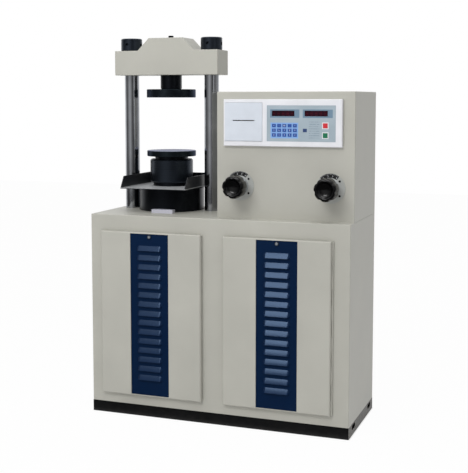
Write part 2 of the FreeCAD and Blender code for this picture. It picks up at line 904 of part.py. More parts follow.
def hood(plate_y, top, lip_y, lip):
    """Section of a louvre: a quarter bend from the plate at the top out to the lip, which hangs upright."""
    rise = plate_y - lip_y
    height = top - lip
    radius = (rise * rise + height * height) / (2 * rise)
    centre = lip_y + radius
    slope = (rise * rise + height * height).root()
    away = radius - (radius * radius - slope * slope / 4).root()
    middle_y = (plate_y + lip_y) / 2 - away * height / slope
    middle_z = (top + lip) / 2 + away * rise / slope
    points = [(plate_y, top), (lip_y, lip), (plate_y, lip)]
    return points, {0: Arc((middle_y, middle_z), (centre, lip))}


def make_lock(side):
    """Quarter-turn lock: a slotted head on the strip, its barrel and a cam that hangs down when open."""
    middle = door_lefts[side] + door_width / 2
    reach = front + s.cabinet_sheet - strip_face + s.fixed_gap * 2
    lock = Piece(f"door_lock_{side}", at=(middle, strip_face - s.moving_gap, lock_level), turn=TO_FRONT)
    lock.add("top", 0, "up", s.lock_head, Circle(0, 0, s.lock_head_radius))
    lock.dress("Chamfer", s.lock_head / 4, lambda edge, at: near(at.z, s.lock_head))
    lock.cut("top", s.lock_head, "down", s.lock_head / 2, lock_slot())
    depth = reach + s.moving_gap + s.cam_sheet
    lock.add("top", 0, "down", depth, Circle(0, 0, s.lock_radius))
    half = s.cam_width / 2
    cam = rectangle(-half, half, -s.cam_reach, Size.of(0))
    lock.add("top", -depth, "up", s.cam_sheet, cam)


def lock_slot():
    half = s.lock_slot / 2
    return rectangle(-s.lock_radius, s.lock_radius, -half, half)


def make_load_frame():
    """Base beam on its stand inside the cabinet, two columns with round nuts, and the crosshead."""
    half = s.column_spacing / 2 + s.beam_overhang
    beam = Piece("base_beam")
    depth = s.beam_depth / 2
    outline = rectangle(frame_x - half, frame_x + half, frame_y - depth, frame_y + depth)
    beam.add("top", beam_bottom, "up", s.beam_height, outline)
    bores = [Circle(x, frame_y, s.column_radius + s.running_gap) for x in column_places]
    bores.append(Circle(frame_x, frame_y, s.barrel_radius + s.running_gap))
    beam.cut("top", beam_top, "down", s.beam_height, *bores)

    tube = s.stand_tube
    stand = Piece("beam_stand")
    legs = []
    bores = []
    for x in (frame_x - half, frame_x + half - tube):
        for y in (frame_y - depth, frame_y + depth - tube):
            wall = s.stand_tube_wall
            legs.append(rectangle(x, x + tube, y, y + tube))
            bores.append(rectangle(x + wall, x + tube - wall, y + wall, y + tube - wall))
    height = beam_bottom - cabinet_floor
    stand.add("top", cabinet_floor, "up", height, *legs)
    stand.cut("top", cabinet_floor, "up", height, *bores)
    rails = []
    for x in (frame_x - half, frame_x + half - tube):
        inset = s.stand_rail_inset
        rails.append(rectangle(x + inset, x + tube - inset, frame_y - depth + tube, frame_y + depth - tube))
    stand.add("top", cabinet_floor + s.stand_rail_level, "up", s.stand_rail_height, *rails)

    column_foot = beam_bottom - s.lower_nut_height - s.column_proud
    column_head = crosshead_arm_top + s.upper_nut_height - s.column_short
    for name, x in zip(("column_left", "column_right"), column_places):
        column = Piece(name, at=(x, frame_y, 0))
        radius = s.column_radius
        bevel = s.column_chamfer
        column.turned([
            (0, column_foot),
            (radius - bevel, column_foot),
            (radius, column_foot + bevel),
            (radius, column_head - bevel),
            (radius - bevel, column_head),
            (0, column_head),
        ])

    make_nuts()

    end = s.column_spacing / 2 + s.crosshead_overhang
    foot = s.hump_foot / 2
    crown = s.hump_top / 2
    outline = [
        (frame_x - end, crosshead_bottom),
        (frame_x + end, crosshead_bottom),
        (frame_x + end, crosshead_arm_top),
        (frame_x + foot, crosshead_arm_top),
        (frame_x + crown, crosshead_top),
        (frame_x - crown, crosshead_top),
        (frame_x - foot, crosshead_arm_top),
        (frame_x - end, crosshead_arm_top),
    ]
    crosshead = Piece("crosshead")
    crosshead.add("front", frame_y, "both", s.crosshead_depth, outline)
    crosshead.dress("Fillet", s.crosshead_edge_radius, lambda edge, at: True)
    bores = [Circle(x, frame_y, s.column_radius + s.running_gap) for x in column_places]
    crosshead.cut("top", crosshead_arm_top, "down", s.crosshead_arm, *bores)
    bolt_bore = Circle(frame_x, frame_y, s.cap_bolt_radius + s.running_gap)
    crosshead.cut("top", crosshead_top, "down", s.crosshead_arm + s.crosshead_hump, bolt_bore)

    bolt = Piece("crosshead_bolt", at=(frame_x, frame_y, crosshead_top))
    shank = s.crosshead_arm + s.crosshead_hump + s.stem_cap - 1
    head = [
        (0, -shank),
        (s.cap_bolt_radius, -shank),
        (s.cap_bolt_radius, 0),
        (s.cap_bolt_head_radius, 0),
        (s.cap_bolt_head_radius, s.cap_bolt_head - 1),
        (s.cap_bolt_head_radius - 1, s.cap_bolt_head),
        (0, s.cap_bolt_head),
    ]
    bolt.turned(head)


def make_nuts():
    """Round nuts above the crosshead and below the beam, with turned grooves and radial tommy-bar holes."""
    nuts = Piece("column_nuts", at=(column_places[0], frame_y, 0))
    inner = s.column_radius + s.running_gap
    outer = s.nut_radius
    bevel = s.nut_chamfer
    pitch = s.nut_groove_pitch
    grooves = count("nut_grooves")
    turnings = []
    holes = []
    for low, height in (
        (crosshead_arm_top, s.upper_nut_height),
        (beam_bottom - s.lower_nut_height, s.lower_nut_height),
    ):
        high = low + height
        turnings.append([
            (inner, low),
            (outer - bevel, low),
            (outer, low + bevel),
            *grooves_down_to(outer, high - bevel - pitch, pitch, grooves),
            (outer, high - bevel),
            (outer - bevel, high),
            (inner, high),
        ])
        holes.append(Circle(0, low + height / 2, s.tommy_hole_radius))
    nut = nuts.turned(*turnings)
    drilled = [
        nuts.cut("front", -outer, "back", s.tommy_hole_depth, *holes),
        nuts.cut("front", outer, "front", s.tommy_hole_depth, *holes),
        nuts.cut("side", -outer, "right", s.tommy_hole_depth, *holes),
        nuts.cut("side", outer, "left", s.tommy_hole_depth, *holes),
    ]
    nuts.row([nut] + drilled, "X", s.column_spacing, 2)


def grooves_down_to(radius, highest, pitch, copies):
    """Corners of shallow turned grooves in a round face, from the lowest up to the highest."""
    corners = []
    for step in reversed(range(copies)):
        foot = highest - pitch * step
        corners += [
            (radius, foot),
            (radius - s.groove_depth, foot),
            (radius - s.groove_depth, foot + s.groove_width),
            (radius, foot + s.groove_width),
        ]
    return corners


def make_press():
    """Oil cylinder, ram and seats, from the base beam up to the crosshead."""
    cylinder = Piece("cylinder", at=(frame_x, frame_y, s.cabinet_top))
    bore = s.ram_radius + s.running_gap
    deep = s.barrel_depth
    high = s.cylinder_height
    bevel = s.cylinder_bevel
    groove_low = high - s.seal_level
    groove_high = groove_low + s.seal_groove
    cylinder.turned([
        (0, -deep),
        (s.barrel_radius - bevel, -deep),
        (s.barrel_radius, -deep + bevel),
        (s.barrel_radius, 0),
        (s.cylinder_radius - bevel / 2, 0),
        (s.cylinder_radius, bevel / 2),
        (s.cylinder_radius, high - bevel),
        (s.cylinder_radius - bevel, high),
        (bore, high),
        (bore, groove_high),
        (bore + s.seal_groove, groove_high),
        (bore + s.seal_groove, groove_low),
        (bore, groove_low),
        (bore, -deep + s.barrel_floor),
        (0, -deep + s.barrel_floor),
    ])

    seal = Piece("cylinder_seal", at=(frame_x, frame_y, s.cabinet_top))
    seal.turned([
        (bore, groove_low),
        (bore + s.seal_groove, groove_low),
        (bore + s.seal_groove, groove_high),
        (bore, groove_high),
    ])

    ram = Piece("ram", at=(frame_x, frame_y, 0))
    ram.turned([
        (0, ram_foot),
        (s.ram_radius - s.ram_bevel, ram_foot),
        (s.ram_radius, ram_foot + s.ram_bevel),
        (s.ram_radius, ram_top),
        (0, ram_top),
    ])

    head = Piece("ram_head", at=(frame_x, frame_y, ram_top))
    radius = s.ram_head_radius
    height = s.ram_head_height
    ball = s.lower_seat_ball
    dish_radius = s.lower_seat_radius - s.lower_seat_rim
    dish = ball - (ball * ball - dish_radius * dish_radius).root()
    dish_middle = dish_radius / 2
    dish_lift = ball - (ball * ball - dish_middle * dish_middle).root()
    bevel = s.ram_head_bevel
    pitch = s.ram_head_groove_pitch
    grooves = count("ram_head_grooves")
    head.turned((
        [
            (0, 0),
            (radius - bevel, 0),
            (radius, bevel),
            *grooves_down_to(radius, height - pitch, pitch, grooves),
            (radius, height - bevel),
            (radius - bevel, height),
            (dish_radius, height),
            (0, height - dish),
        ],
        {5 + 4 * grooves: Arc((dish_middle, height - dish + dish_lift), (0, height - dish + ball))},
    ))

    seat = Piece("lower_seat", at=(frame_x, frame_y, ram_head_top))
    seat.turned((
        [
            (0, -dish),
            (dish_radius, 0),
            (s.lower_seat_radius, 0),
            (s.lower_seat_radius, s.lower_seat_height),
            (0, s.lower_seat_height),
        ],
        {0: Arc((dish_middle, dish_lift - dish), (0, ball - dish))},
    ))

    make_platen("lower_platen", lower_seat_top, s.lower_platen_radius, s.lower_platen_height)


def make_platen(label, level, radius, height):
    """Ground steel disc with a narrow chamfer round both faces."""
    bevel = s.platen_bevel
    platen = Piece(label, at=(frame_x, frame_y, level))
    platen.turned([
        (0, 0),
        (radius - bevel, 0),
        (radius, bevel),
        (radius, height - bevel),
        (radius - bevel, height),
        (0, height),
    ])


def make_upper_seat():
    """Upper platen hung from its stem on a spherical seat whose centre lies in the working face."""
    ball = s.ball_radius
    top = s.upper_platen_height
    foot = (ball * ball - top * top).root()
    bend = (ball * ball - foot * foot / 4).root()
    crown = (ball * ball - s.hanger_radius * s.hanger_radius).root()
    radius = s.upper_platen_radius
    bevel = s.platen_bevel
    platen = Piece("upper_platen", at=(frame_x, frame_y, upper_platen_face))
    platen.turned((
        [
            (0, 0),
            (radius - bevel, 0),
            (radius, bevel),
            (radius, top - bevel),
            (radius - bevel, top),
            (foot, top),
            (s.hanger_radius, crown),
            (s.hanger_radius, top / 2),
            (0, top / 2),
        ],
        {5: Arc((foot / 2, bend), (0, 0))},
    ))

    socket = ball + s.ball_gap
    rim = top + s.stem_rim_gap
    mouth = (socket * socket - rim * rim).root()
    throat = s.hanger_radius + s.hanger_throat_gap
    throat_top = (socket * socket - throat * throat).root()
    middle = (mouth + throat) / 2
    middle_up = (socket * socket - middle * middle).root()
    stem_top = top + s.stem_height
    pocket_roof = stem_top - s.stem_cap
    pocket_floor = pocket_roof - s.hanger_pocket
    stem = Piece("upper_seat", at=(frame_x, frame_y, upper_platen_face))
    stem.turned((
        [
            (s.stem_radius, rim),
            (s.stem_radius, stem_top - 1),
            (s.stem_radius - 1, stem_top),
            (s.cap_bolt_radius, stem_top),
            (s.cap_bolt_radius, pocket_roof),
            (s.hanger_pocket_radius, pocket_roof),
            (s.hanger_pocket_radius, pocket_floor),
            (throat, pocket_floor),
            (throat, throat_top),
            (mouth, rim),
        ],
        {8: Arc((middle, middle_up), (0, 0))},
    ))

    hanger = Piece("seat_hanger", at=(frame_x, frame_y, upper_platen_face))
    spring_foot = pocket_floor + s.seat_gap
    spring_height = s.spring_pitch * (count("spring_count") - 1) + s.spring_wall * 2
    head_foot = spring_foot + spring_height + s.seat_gap
    hanger.turned([
        (0, top / 2),
        (s.hanger_radius, top / 2),
        (s.hanger_radius, head_foot),
        (s.hanger_head_radius, head_foot),
        (s.hanger_head_radius, head_foot + s.hanger_head),
        (0, head_foot + s.hanger_head),
    ])

    spring = Piece("seat_spring", at=(frame_x, frame_y, upper_platen_face))
    hole = s.hanger_radius + s.hanger_slack
    rim_radius = s.hanger_head_radius
    disc = spring.turned([
        (hole, spring_foot + s.spring_wall),
        (rim_radius, spring_foot),
        (rim_radius, spring_foot + s.spring_wall),
        (hole, spring_foot + s.spring_wall * 2),
    ])
    spring.row([disc], "Z", s.spring_pitch, count("spring_count"))


def make_tray():
    """Folded tray round the ram, open in front, with side walls cut back on a slant."""
    half = s.tray_width / 2
    low = frame_y - s.tray_front
    high = frame_y + s.tray_back
    sheet = s.tray_sheet
    tray = Piece("tray")
    side_outline = [
        (low, tray_bottom),
        (high, tray_bottom),
        (high, tray_floor + s.tray_wall),
        (low + s.tray_slant, tray_floor + s.tray_wall),
        (low, tray_floor),
    ]
    tray.add("side", frame_x, "both", s.tray_width, side_outline)
    hollow = rectangle(frame_x - half + sheet, frame_x + half - sheet, low - BEYOND, high - sheet)
    tray.cut("top", tray_floor, "up", s.tray_wall + BEYOND, hollow)
    tray.cut("top", tray_floor, "down", sheet, Circle(frame_x, frame_y, s.ram_radius + s.tray_hole_gap))


def make_spirit_level():
    """Levelling block on the roof with a glass vial lying in its slot."""
    level = Piece("spirit_level")
    level_back = frame_y - s.cylinder_radius - s.level_from_cylinder
    middle = frame_x + s.level_shift
    half = s.level_width / 2
    block = rectangle(middle - half, middle + half, level_back - s.level_depth, level_back)
    level.add("top", s.cabinet_top, "up", s.level_height, block)
    level.dress("Fillet", s.level_rounding, lambda edge, at: not near(at.z, s.cabinet_top))
    level_top = s.cabinet_top + s.level_height
    half = s.level_well / 2
    radius = s.level_vial_radius
    vial_y = level_back - s.level_depth / 2
    well = rectangle(middle - half, middle + half, vial_y - radius - 1, vial_y + radius + 1)
    level.cut("top", level_top, "down", s.level_well_depth, well)
    vial = Circle(vial_y, level_top - s.level_well_depth + radius / 2, radius)
    level.add("side", middle, "both", s.level_well + 2 * BEYOND, vial)


def make_console():
    """Upright housing over the right bay, open behind, with its rear cover."""
    shell = Piece("console_shell")
    sheet = s.cabinet_sheet
    outline = rectangle(console_left, right, console_front, back)
    shell.add("top", s.cabinet_top, "up", s.console_height, outline)
    low = console_left + sheet
    high = right - sheet
    lip = s.rear_lip
    floor = s.cabinet_top + sheet
    roof = console_top - sheet
    room = rectangle(low, high, floor, roof)
    doorway = rectangle(low + lip, high - lip, floor + lip, roof - lip)
    shell.cut("front", back, "front", sheet, room)
    shell.cut("front", back - sheet, "front", sheet, doorway)
    shell.cut("front", back - 2 * sheet, "front", s.console_depth - 3 * sheet, room)
    lap = s.bezel_lap
    window = rectangle(bezel_left + lap, bezel_right - lap, bezel_bottom + lap, bezel_top - lap)
    necks = [Circle(x, valve_z, s.valve_neck_radius + s.fixed_gap) for x in valve_places]
    shell.cut("front", console_front, "back", sheet, window, *necks)
    shell.cut("top", floor, "down", sheet, hatch())

    def outer_corner(edge, middle):
        upright = abs(edge.BoundBox.ZLength) > s.console_height.value / 2
        at_side = near(middle.x, console_left) or near(middle.x, right)
        at_end = near(middle.y, console_front) or near(middle.y, back)
        top_rim = level_edge(edge) and near(middle.z, console_top) and (at_side or at_end)
        return (upright and at_side and at_end) or (top_rim and edge.Length > s.console_depth.value / 2)

    shell.dress("Fillet", s.console_edge_radius, outer_corner)

    cover = Piece("console_rear_cover")
    gap = s.fixed_gap
    cover.add("front", back, "front", sheet, rectangle(low + gap, high - gap, floor + gap, roof - gap))
    middle = (console_left + right) / 2
    vent = oval(middle, console_top - s.console_vent_level, s.vent_width, s.vent_height)
    first = cover.cut("front", back, "front", sheet, vent)
    cover.row([first], "Z", s.vent_pitch, count("console_vents"))


def make_instrument():
    """Raised bezel with the printer's doorway, the keypad film, two windows, and the tub behind it."""
    bezel = Piece("bezel")
    outline = rectangle(bezel_left, bezel_right, bezel_bottom, bezel_top)
    bezel.add("front", console_front, "front", s.bezel_depth, outline)
    bezel.dress("Chamfer", s.bezel_bevel, lambda edge, at: near(at.y, bezel_face))
    gap = s.fixed_gap
    doorway = rectangle(cover_left, cover_right, cover_bottom, cover_roof)
    bezel.cut("front", bezel_face, "back", s.bezel_depth, doorway)
    film_left = bezel_left + s.film_from_left
    film_right = film_left + s.film_width
    film_bottom = bezel_bottom + s.cover_from_bottom
    film_roof = film_bottom + s.film_height
    film_outline = rectangle(film_left, film_right, film_bottom, film_roof)
    bezel.cut("front", bezel_face, "back", s.film_sheet, film_outline)
    windows = []
    panes = []
    sights = []
    low = film_bottom + s.window_from_bottom
    high = low + s.window_height
    for from_left in (s.first_window_from_left, s.second_window_from_left):
        start = film_left + from_left
        finish = start + s.window_width
        slack = s.moving_gap
        ledge = s.pane_ledge
        windows.append(rectangle(start, finish, low, high))
        panes.append(rectangle(start + slack, finish - slack, low + slack, high - slack))
        sights.append(rectangle(start + ledge, finish - ledge, low + ledge, high - ledge))
    pane_back = bezel_face + s.film_sheet + s.pane_sheet - s.pane_recess
    bezel.cut("front", bezel_face, "back", pane_back - bezel_face, *windows)
    bezel.cut("front", bezel_face, "back", s.bezel_depth, *sights)

    film = Piece("keypad")
    film_inset = s.moving_gap / 2
    sheet_outline = rectangle(
        film_left + film_inset, film_right - film_inset, film_bottom + film_inset, film_roof - film_inset
    )
    film_back = bezel_face + s.film_sheet
    film.add("front", film_back, "front", s.film_sheet, sheet_outline)
    film.cut("front", film_back, "front", s.film_sheet, *windows)
    keys = []
    for column in range(count("key_columns")):
        for line in range(count("key_rows")):
            x = film_left + s.keys_from_left + s.key_pitch_across * column
            z = film_bottom + s.keys_from_bottom + s.key_pitch_up * line
            keys.append(rectangle(x, x + s.key_width, z, z + s.key_height))
    x = film_left + s.mode_key_from_left
    z = film_bottom + s.mode_key_from_bottom
    keys.append(rectangle(x, x + s.key_width, z, z + s.key_height))
    for line in range(count("start_keys")):
        x = film_left + s.start_key_from_left
        z = film_bottom + s.start_key_from_bottom + s.start_key_pitch * line
        keys.append(rectangle(x, x + s.start_key, z, z + s.start_key))
    film.add("front", bezel_face, "front", s.key_rise, *keys)

    glass = Piece("display_windows")
    glass.add("front", pane_back, "front", s.pane_sheet, *panes)

    tub_left = bezel_left + s.bezel_lap + gap
    tub_right = bezel_right - s.bezel_lap - gap
    tub_bottom = bezel_bottom + s.bezel_lap + gap
    tub_top = bezel_top - s.bezel_lap - gap
    wall = s.tub_wall
    partition = film_left - wall - 1
    tub = Piece("instrument_tub")
    outline = rectangle(tub_left, tub_right, tub_bottom, tub_top)
    tub.add("front", console_front, "back", s.tub_depth, outline)
    rooms = [
        rectangle(tub_left + wall, partition - wall, tub_bottom + wall, tub_top - wall),
        rectangle(partition, tub_right - wall, tub_bottom + wall, tub_top - wall),
    ]
    tub.cut("front", console_front, "back", s.tub_depth - wall, *rooms)

    board = Piece("instrument_board")
    board_front = console_front + s.board_stand_off
    margin = s.board_margin
    low_x = partition + margin
    high_x = tub_right - wall - margin
    low_z = tub_bottom + wall + margin
    high_z = tub_top - wall - margin
    board.add("front", board_front, "back", s.board_sheet, rectangle(low_x, high_x, low_z, high_z))
    posts = []
    inset = s.board_post_inset
    for x in (low_x + inset, high_x - inset):
        for z in (low_z + inset, high_z - inset):
            posts.append(Circle(x, z, s.board_post_radius))
    board.add("front", board_front, "front", s.board_stand_off, *posts)
    inset = s.pane_ledge + BEYOND
    displays = []
    for from_left in (s.first_window_from_left, s.second_window_from_left):
        start = film_left + from_left + inset
        finish = film_left + from_left + s.window_width - inset
        displays.append(rectangle(start, finish, low + inset, high - inset))
    display_height = s.board_stand_off + s.bezel_depth - s.film_sheet - s.pane_sheet - BEYOND
    board.add("front", board_front, "front", display_height, *displays)
    chip_x = low_x + s.chip_from_left
    chip_z = low_z + s.chip_from_bottom
    chip = rectangle(chip_x, chip_x + s.chip_side, chip_z, chip_z + s.chip_side)
    board.add("front", board_front + s.board_sheet, "back", s.chip_height, chip)
    coil_x = high_x - s.transformer_from_right
    coil_z = low_z + s.transformer_from_bottom
    transformer = rectangle(coil_x - s.transformer_width, coil_x, coil_z, coil_z + s.transformer_height)
    board.add("front", board_front + s.board_sheet, "back", s.transformer_depth, transformer)

    make_printer(tub_left + wall, partition - wall, tub_bottom + wall)


def make_printer(room_left, room_right, room_floor):
    """Strip printer: frame, roll on its spindle and the cover that tips forward on its lower edge."""
    gap = s.fixed_gap
    cover = Piece("printer_cover")
    outline = [
        (cover_face, cover_pivot_z),
        (cover_face + s.cover_sheet, cover_pivot_z),
        (cover_face + s.cover_sheet, cover_roof - gap),
        (cover_face, cover_roof - gap),
    ]
    arcs = {0: Arc((cover_pivot_y, cover_bottom + gap), (cover_pivot_y, cover_pivot_z))}
    cover.add("side", cover_middle, "both", s.cover_width - 2 * gap, (outline, arcs))
    slit_low = cover_bottom + s.cover_slit_level
    slit_half = s.cover_slit_width / 2
    slit_high = slit_low + s.cover_slit_height
    slit = rectangle(cover_middle - slit_half, cover_middle + slit_half, slit_low, slit_high)
    cover.cut("front", cover_face, "back", s.cover_sheet, slit)
    socket = Circle(cover_pivot_y, cover_pivot_z, s.cover_pin_radius + s.running_gap)
    cover.cut("side", cover_middle, "both", s.cover_width, socket)

    wall = s.frame_wall
    frame = Piece("printer_frame")
    frame_left = room_left + 1
    frame_right = room_right - 1
    frame_top = room_floor + s.frame_height
    outline = rectangle(frame_left, frame_right, room_floor, frame_top)
    frame.add("front", console_front, "back", s.frame_depth, outline)
    inside = rectangle(frame_left + wall, frame_right - wall, room_floor + wall, frame_top - wall)
    frame.cut("front", console_front, "back", s.frame_depth - wall, inside)
    axle_y = console_front + s.frame_depth / 2
    axle_z = room_floor + s.frame_height / 2 + s.spindle_above_middle
    bearing = Circle(axle_y, axle_z, s.spindle_radius + s.running_gap)
    frame.cut("side", cover_middle, "both", s.cover_width * 2, bearing)
    bar_floor = room_floor + wall
    bar = rectangle(frame_left + wall, frame_right - wall, bar_floor, bar_floor + s.print_bar_height)
    frame.add("front", console_front + s.print_bar_inset, "back", s.print_bar_depth, bar)

    spindle = Piece("paper_spindle")
    span = frame_right - frame_left
    axle_middle = (frame_left + frame_right) / 2
    spindle.add("side", axle_middle, "both", span, Circle(axle_y, axle_z, s.spindle_radius))
    collar = Circle(axle_y, axle_z, s.spindle_radius + s.spindle_collar)
    for way in (-1, 1):
        start = axle_middle + way * (s.roll_width / 2 + s.moving_gap)
        spindle.add("side", start, "right" if way > 0 else "left", s.spindle_collar, collar)

    roll = Piece("paper_roll")
    paper = Circle(axle_y, axle_z, s.roll_radius)
    core = Circle(axle_y, axle_z, s.spindle_radius + s.running_gap)
    roll.add("side", axle_middle, "both", s.roll_width, paper)
    roll.cut("side", axle_middle, "both", s.roll_width, core)


def make_valves():
    """Two needle valves in one block behind the console's front, with dials, collars and lobed knobs."""
    block_left = valve_places[0] - s.valve_block_margin
    block_right = valve_places[1] + s.valve_block_margin
    half = s.valve_block_height / 2
    block = Piece("valve_block")
    outline = rectangle(block_left, block_right, valve_z - half, valve_z + half)
    block.add("front", console_inside, "back", s.valve_block_depth, outline)
    necks = [Circle(x, valve_z, s.valve_neck_radius) for x in valve_places]
    neck_length = s.cabinet_sheet + s.valve_neck
    block.add("front", console_inside, "front", neck_length, *necks)
    bores = [Circle(x, valve_z, s.valve_stem_radius + s.running_gap) for x in valve_places]
    neck_end = console_inside - neck_length
    bore_depth = neck_length + s.valve_block_depth - s.valve_seat
    block.cut("front", neck_end, "back", bore_depth, *bores)

    dials = Piece("valve_dials")
    plates = [Circle(x, valve_z, s.dial_radius) for x in valve_places]
    eyes = [Circle(x, valve_z, s.valve_neck_radius + s.running_gap) for x in valve_places]
    dials.add("front", console_front, "front", s.dial_sheet, *plates)
    dials.cut("front", console_front, "front", s.dial_sheet, *eyes)

    collars = Piece("valve_collars")
    rings = [Circle(x, valve_z, s.collar_radius) for x in valve_places]
    collar_back = console_front - s.dial_sheet
    collars.add("front", collar_back, "front", s.collar_length, *rings)
    collars.dress("Chamfer", s.collar_bevel, lambda edge, at: near(at.y, collar_back - s.collar_length))
    collars.cut("front", collar_back, "front", s.collar_length, *eyes)

    for name, x in zip(("return", "delivery"), valve_places):
        knob_back = neck_end - s.moving_gap * 2
        stem_foot = neck_end + bore_depth - s.moving_gap
        stem = Piece(f"{name}_stem", at=(x, stem_foot, valve_z), turn=TO_FRONT)
        stem_length = stem_foot - knob_back + s.knob_hub + s.stem_grip
        stem.turned([
            (0, 0),
            (s.stem_point_radius, 0),
            (s.valve_stem_radius, s.stem_taper),
            (s.valve_stem_radius, stem_length - 1),
            (s.valve_stem_radius - 1, stem_length),
            (0, stem_length),
        ])
        knob = Piece(f"{name}_knob", at=(x, knob_back, valve_z), turn=TO_FRONT)
        hub = s.knob_hub
        deep = hub + s.knob_depth
        blind = hub + s.stem_grip + s.running_gap
        hole = s.valve_stem_radius
        back_bevel = s.knob_back_bevel
        front_bevel = s.knob_front_bevel
        front_edge = s.knob_front_edge
        knob.turned([
            (hole, 0),
            (s.knob_hub_radius, 0),
            (s.knob_hub_radius, hub),
            (s.knob_radius - back_bevel, hub),
            (s.knob_radius, hub + back_bevel),
            (s.knob_radius, deep - front_edge),
            (s.knob_radius - front_bevel, deep - front_bevel),
            (s.knob_radius - front_edge, deep),
            (0, deep),
            (0, blind),
            (hole, blind),
        ])
        flute_place = s.knob_radius + s.flute_radius - s.flute_depth
        flute_outline = Circle(flute_place, 0, s.flute_radius)
        flute = knob.cut("top", hub - BEYOND, "up", s.knob_depth + 2 * BEYOND, flute_outline)
        knob.ring([flute], count("knob_lobes"))


def make_oil_unit():
    """Tank on the cabinet's floor with the pump hanging under its lid and the motor standing on it."""
    low = divider + s.tank_from_divider
    high = low + s.tank_width
    depth = s.tank_depth / 2
    bottom = cabinet_floor + s.tank_foot
    top = bottom + s.tank_height
    wall = s.tank_wall
    tank = Piece("oil_tank")
    tank.add("top", bottom, "up", s.tank_height, rectangle(low, high, -depth, depth))
    hollow = rectangle(low + wall, high - wall, -depth + wall, depth - wall)
    tank.cut("top", bottom + wall, "up", s.tank_height, hollow)
    feet = [
        rectangle(low, high, -depth, -depth + s.tank_foot_width),
        rectangle(low, high, depth - s.tank_foot_width, depth),
    ]
    tank.add("top", cabinet_floor, "up", s.tank_foot, *feet)
    gauge_x = high - s.gauge_from_right
    gauge = rectangle(
        gauge_x - s.gauge_width / 2,
        gauge_x + s.gauge_width / 2,
        bottom + (s.tank_height - s.gauge_length) / 2,
        bottom + (s.tank_height + s.gauge_length) / 2,
    )
    tank.add("front", -depth, "front", s.gauge_depth, gauge)
    plug = Circle((low + high) / 2, bottom + s.drain_plug_level, s.drain_plug_radius)
    tank.add("front", -depth, "front", s.drain_plug, plug)

    axis_x = (low + high) / 2 - s.motor_from_tank_middle
    lip = s.lid_lip
    lid = Piece("tank_lid")
    lid_top = top + s.lid_sheet
    lid.add("top", top, "up", s.lid_sheet, rectangle(low - lip, high + lip, -depth - lip, depth + lip))
    lid.dress("Fillet", s.lid_corner_radius, lambda edge, at: not level_edge(edge))
    lid.cut("top", lid_top, "down", s.lid_sheet, Circle(axis_x, 0, s.shaft_radius + s.lid_hole_gap))
    filler_x = high - s.filler_inset
    filler_y = s.filler_inset - depth
    lid.add("top", lid_top, "up", s.filler_neck, Circle(filler_x, filler_y, s.filler_neck_radius))
    cap_height = s.filler_height - s.filler_neck
    lid.add("top", lid_top + s.filler_neck, "up", cap_height, Circle(filler_x, filler_y, s.filler_radius))

    pump = Piece("pump", at=(axis_x, 0, top))
    bore = s.shaft_radius + s.running_gap
    pump.turned([
        (0, -s.pump_height),
        (s.pump_radius - s.pump_bevel, -s.pump_height),
        (s.pump_radius, -s.pump_height + s.pump_bevel),
        (s.pump_radius, 0),
        (bore, 0),
        (bore, -s.pump_bore),
        (0, -s.pump_bore),
    ])

    bell = Piece("bell_housing", at=(axis_x, 0, lid_top))
    inner = s.bell_radius - s.bell_wall
    bell.turned([
        (inner, 0),
        (s.bell_radius + s.bell_flange, 0),
        (s.bell_radius + s.bell_flange, s.bell_flange_sheet),
        (s.bell_radius, s.bell_flange_sheet),
        (s.bell_radius, s.bell_height),
        (inner, s.bell_height),
    ])
    half = s.bell_window_width / 2
    window = rectangle(-half, half, s.bell_window_low, s.bell_height - s.bell_window_from_top)
    bell.cut("front", -s.bell_radius - BEYOND, "back", s.bell_radius, window)

    motor_foot = lid_top + s.bell_height
    motor = Piece("motor_housing", at=(axis_x, 0, motor_foot))
    core = s.motor_radius - s.motor_fin - s.motor_wall
    body = s.motor_radius - s.motor_fin
    bearing = s.shaft_radius + s.running_gap
    top_of_motor = s.motor_height
    end = s.motor_wall * 2
    motor.turned([
        (bearing, 0),
        (body, 0),
        (body, top_of_motor),
        (bearing, top_of_motor),
        (bearing, top_of_motor - end),
        (core, top_of_motor - end),
        (core, end),
        (bearing, end),
    ])
    half = s.motor_fin_sheet / 2
    fin = motor.add(
        "top", end, "up", top_of_motor - 2 * end, rectangle(body - 1, s.motor_radius, -half, half)
    )
    motor.ring([fin], count("motor_fins"))
    half = s.terminal_box_width / 2
    level = s.terminal_box_level
    box = rectangle(-half, half, level, level + s.terminal_box_height)
    box_back = (body * body - half * half).root()
    motor.add("front", -box_back, "front", s.terminal_box_depth + body - box_back, box)

    shaft = Piece("motor_shaft", at=(axis_x, 0, 0))
    shaft_foot = top - s.pump_bore + s.moving_gap
    shaft_top = motor_foot + top_of_motor + s.cowl_height - s.shaft_from_cowl
    rotor_low = motor_foot + (top_of_motor - s.rotor_length) / 2
    rotor_high = rotor_low + s.rotor_length
    rotor = core - s.rotor_gap
    radius = s.shaft_radius
    shaft.turned([
        (0, shaft_foot),
        (radius, shaft_foot),
        (radius, rotor_low),
        (rotor, rotor_low),
        (rotor, rotor_high),
        (radius, rotor_high),
        (radius, shaft_top),
        (0, shaft_top),
    ])

    coupling = Piece("shaft_coupling", at=(axis_x, 0, lid_top))
    hub = s.coupling_radius
    waist = hub - s.coupling_waist
    lower_end = s.coupling_foot + s.coupling_hub
    upper_foot = lower_end + s.coupling_joint
    coupling.turned([
        (radius, s.coupling_foot),
        (hub, s.coupling_foot),
        (hub, lower_end),
        (waist, lower_end),
        (waist, upper_foot),
        (hub, upper_foot),
        (hub, upper_foot + s.coupling_hub),
        (radius, upper_foot + s.coupling_hub),
    ])

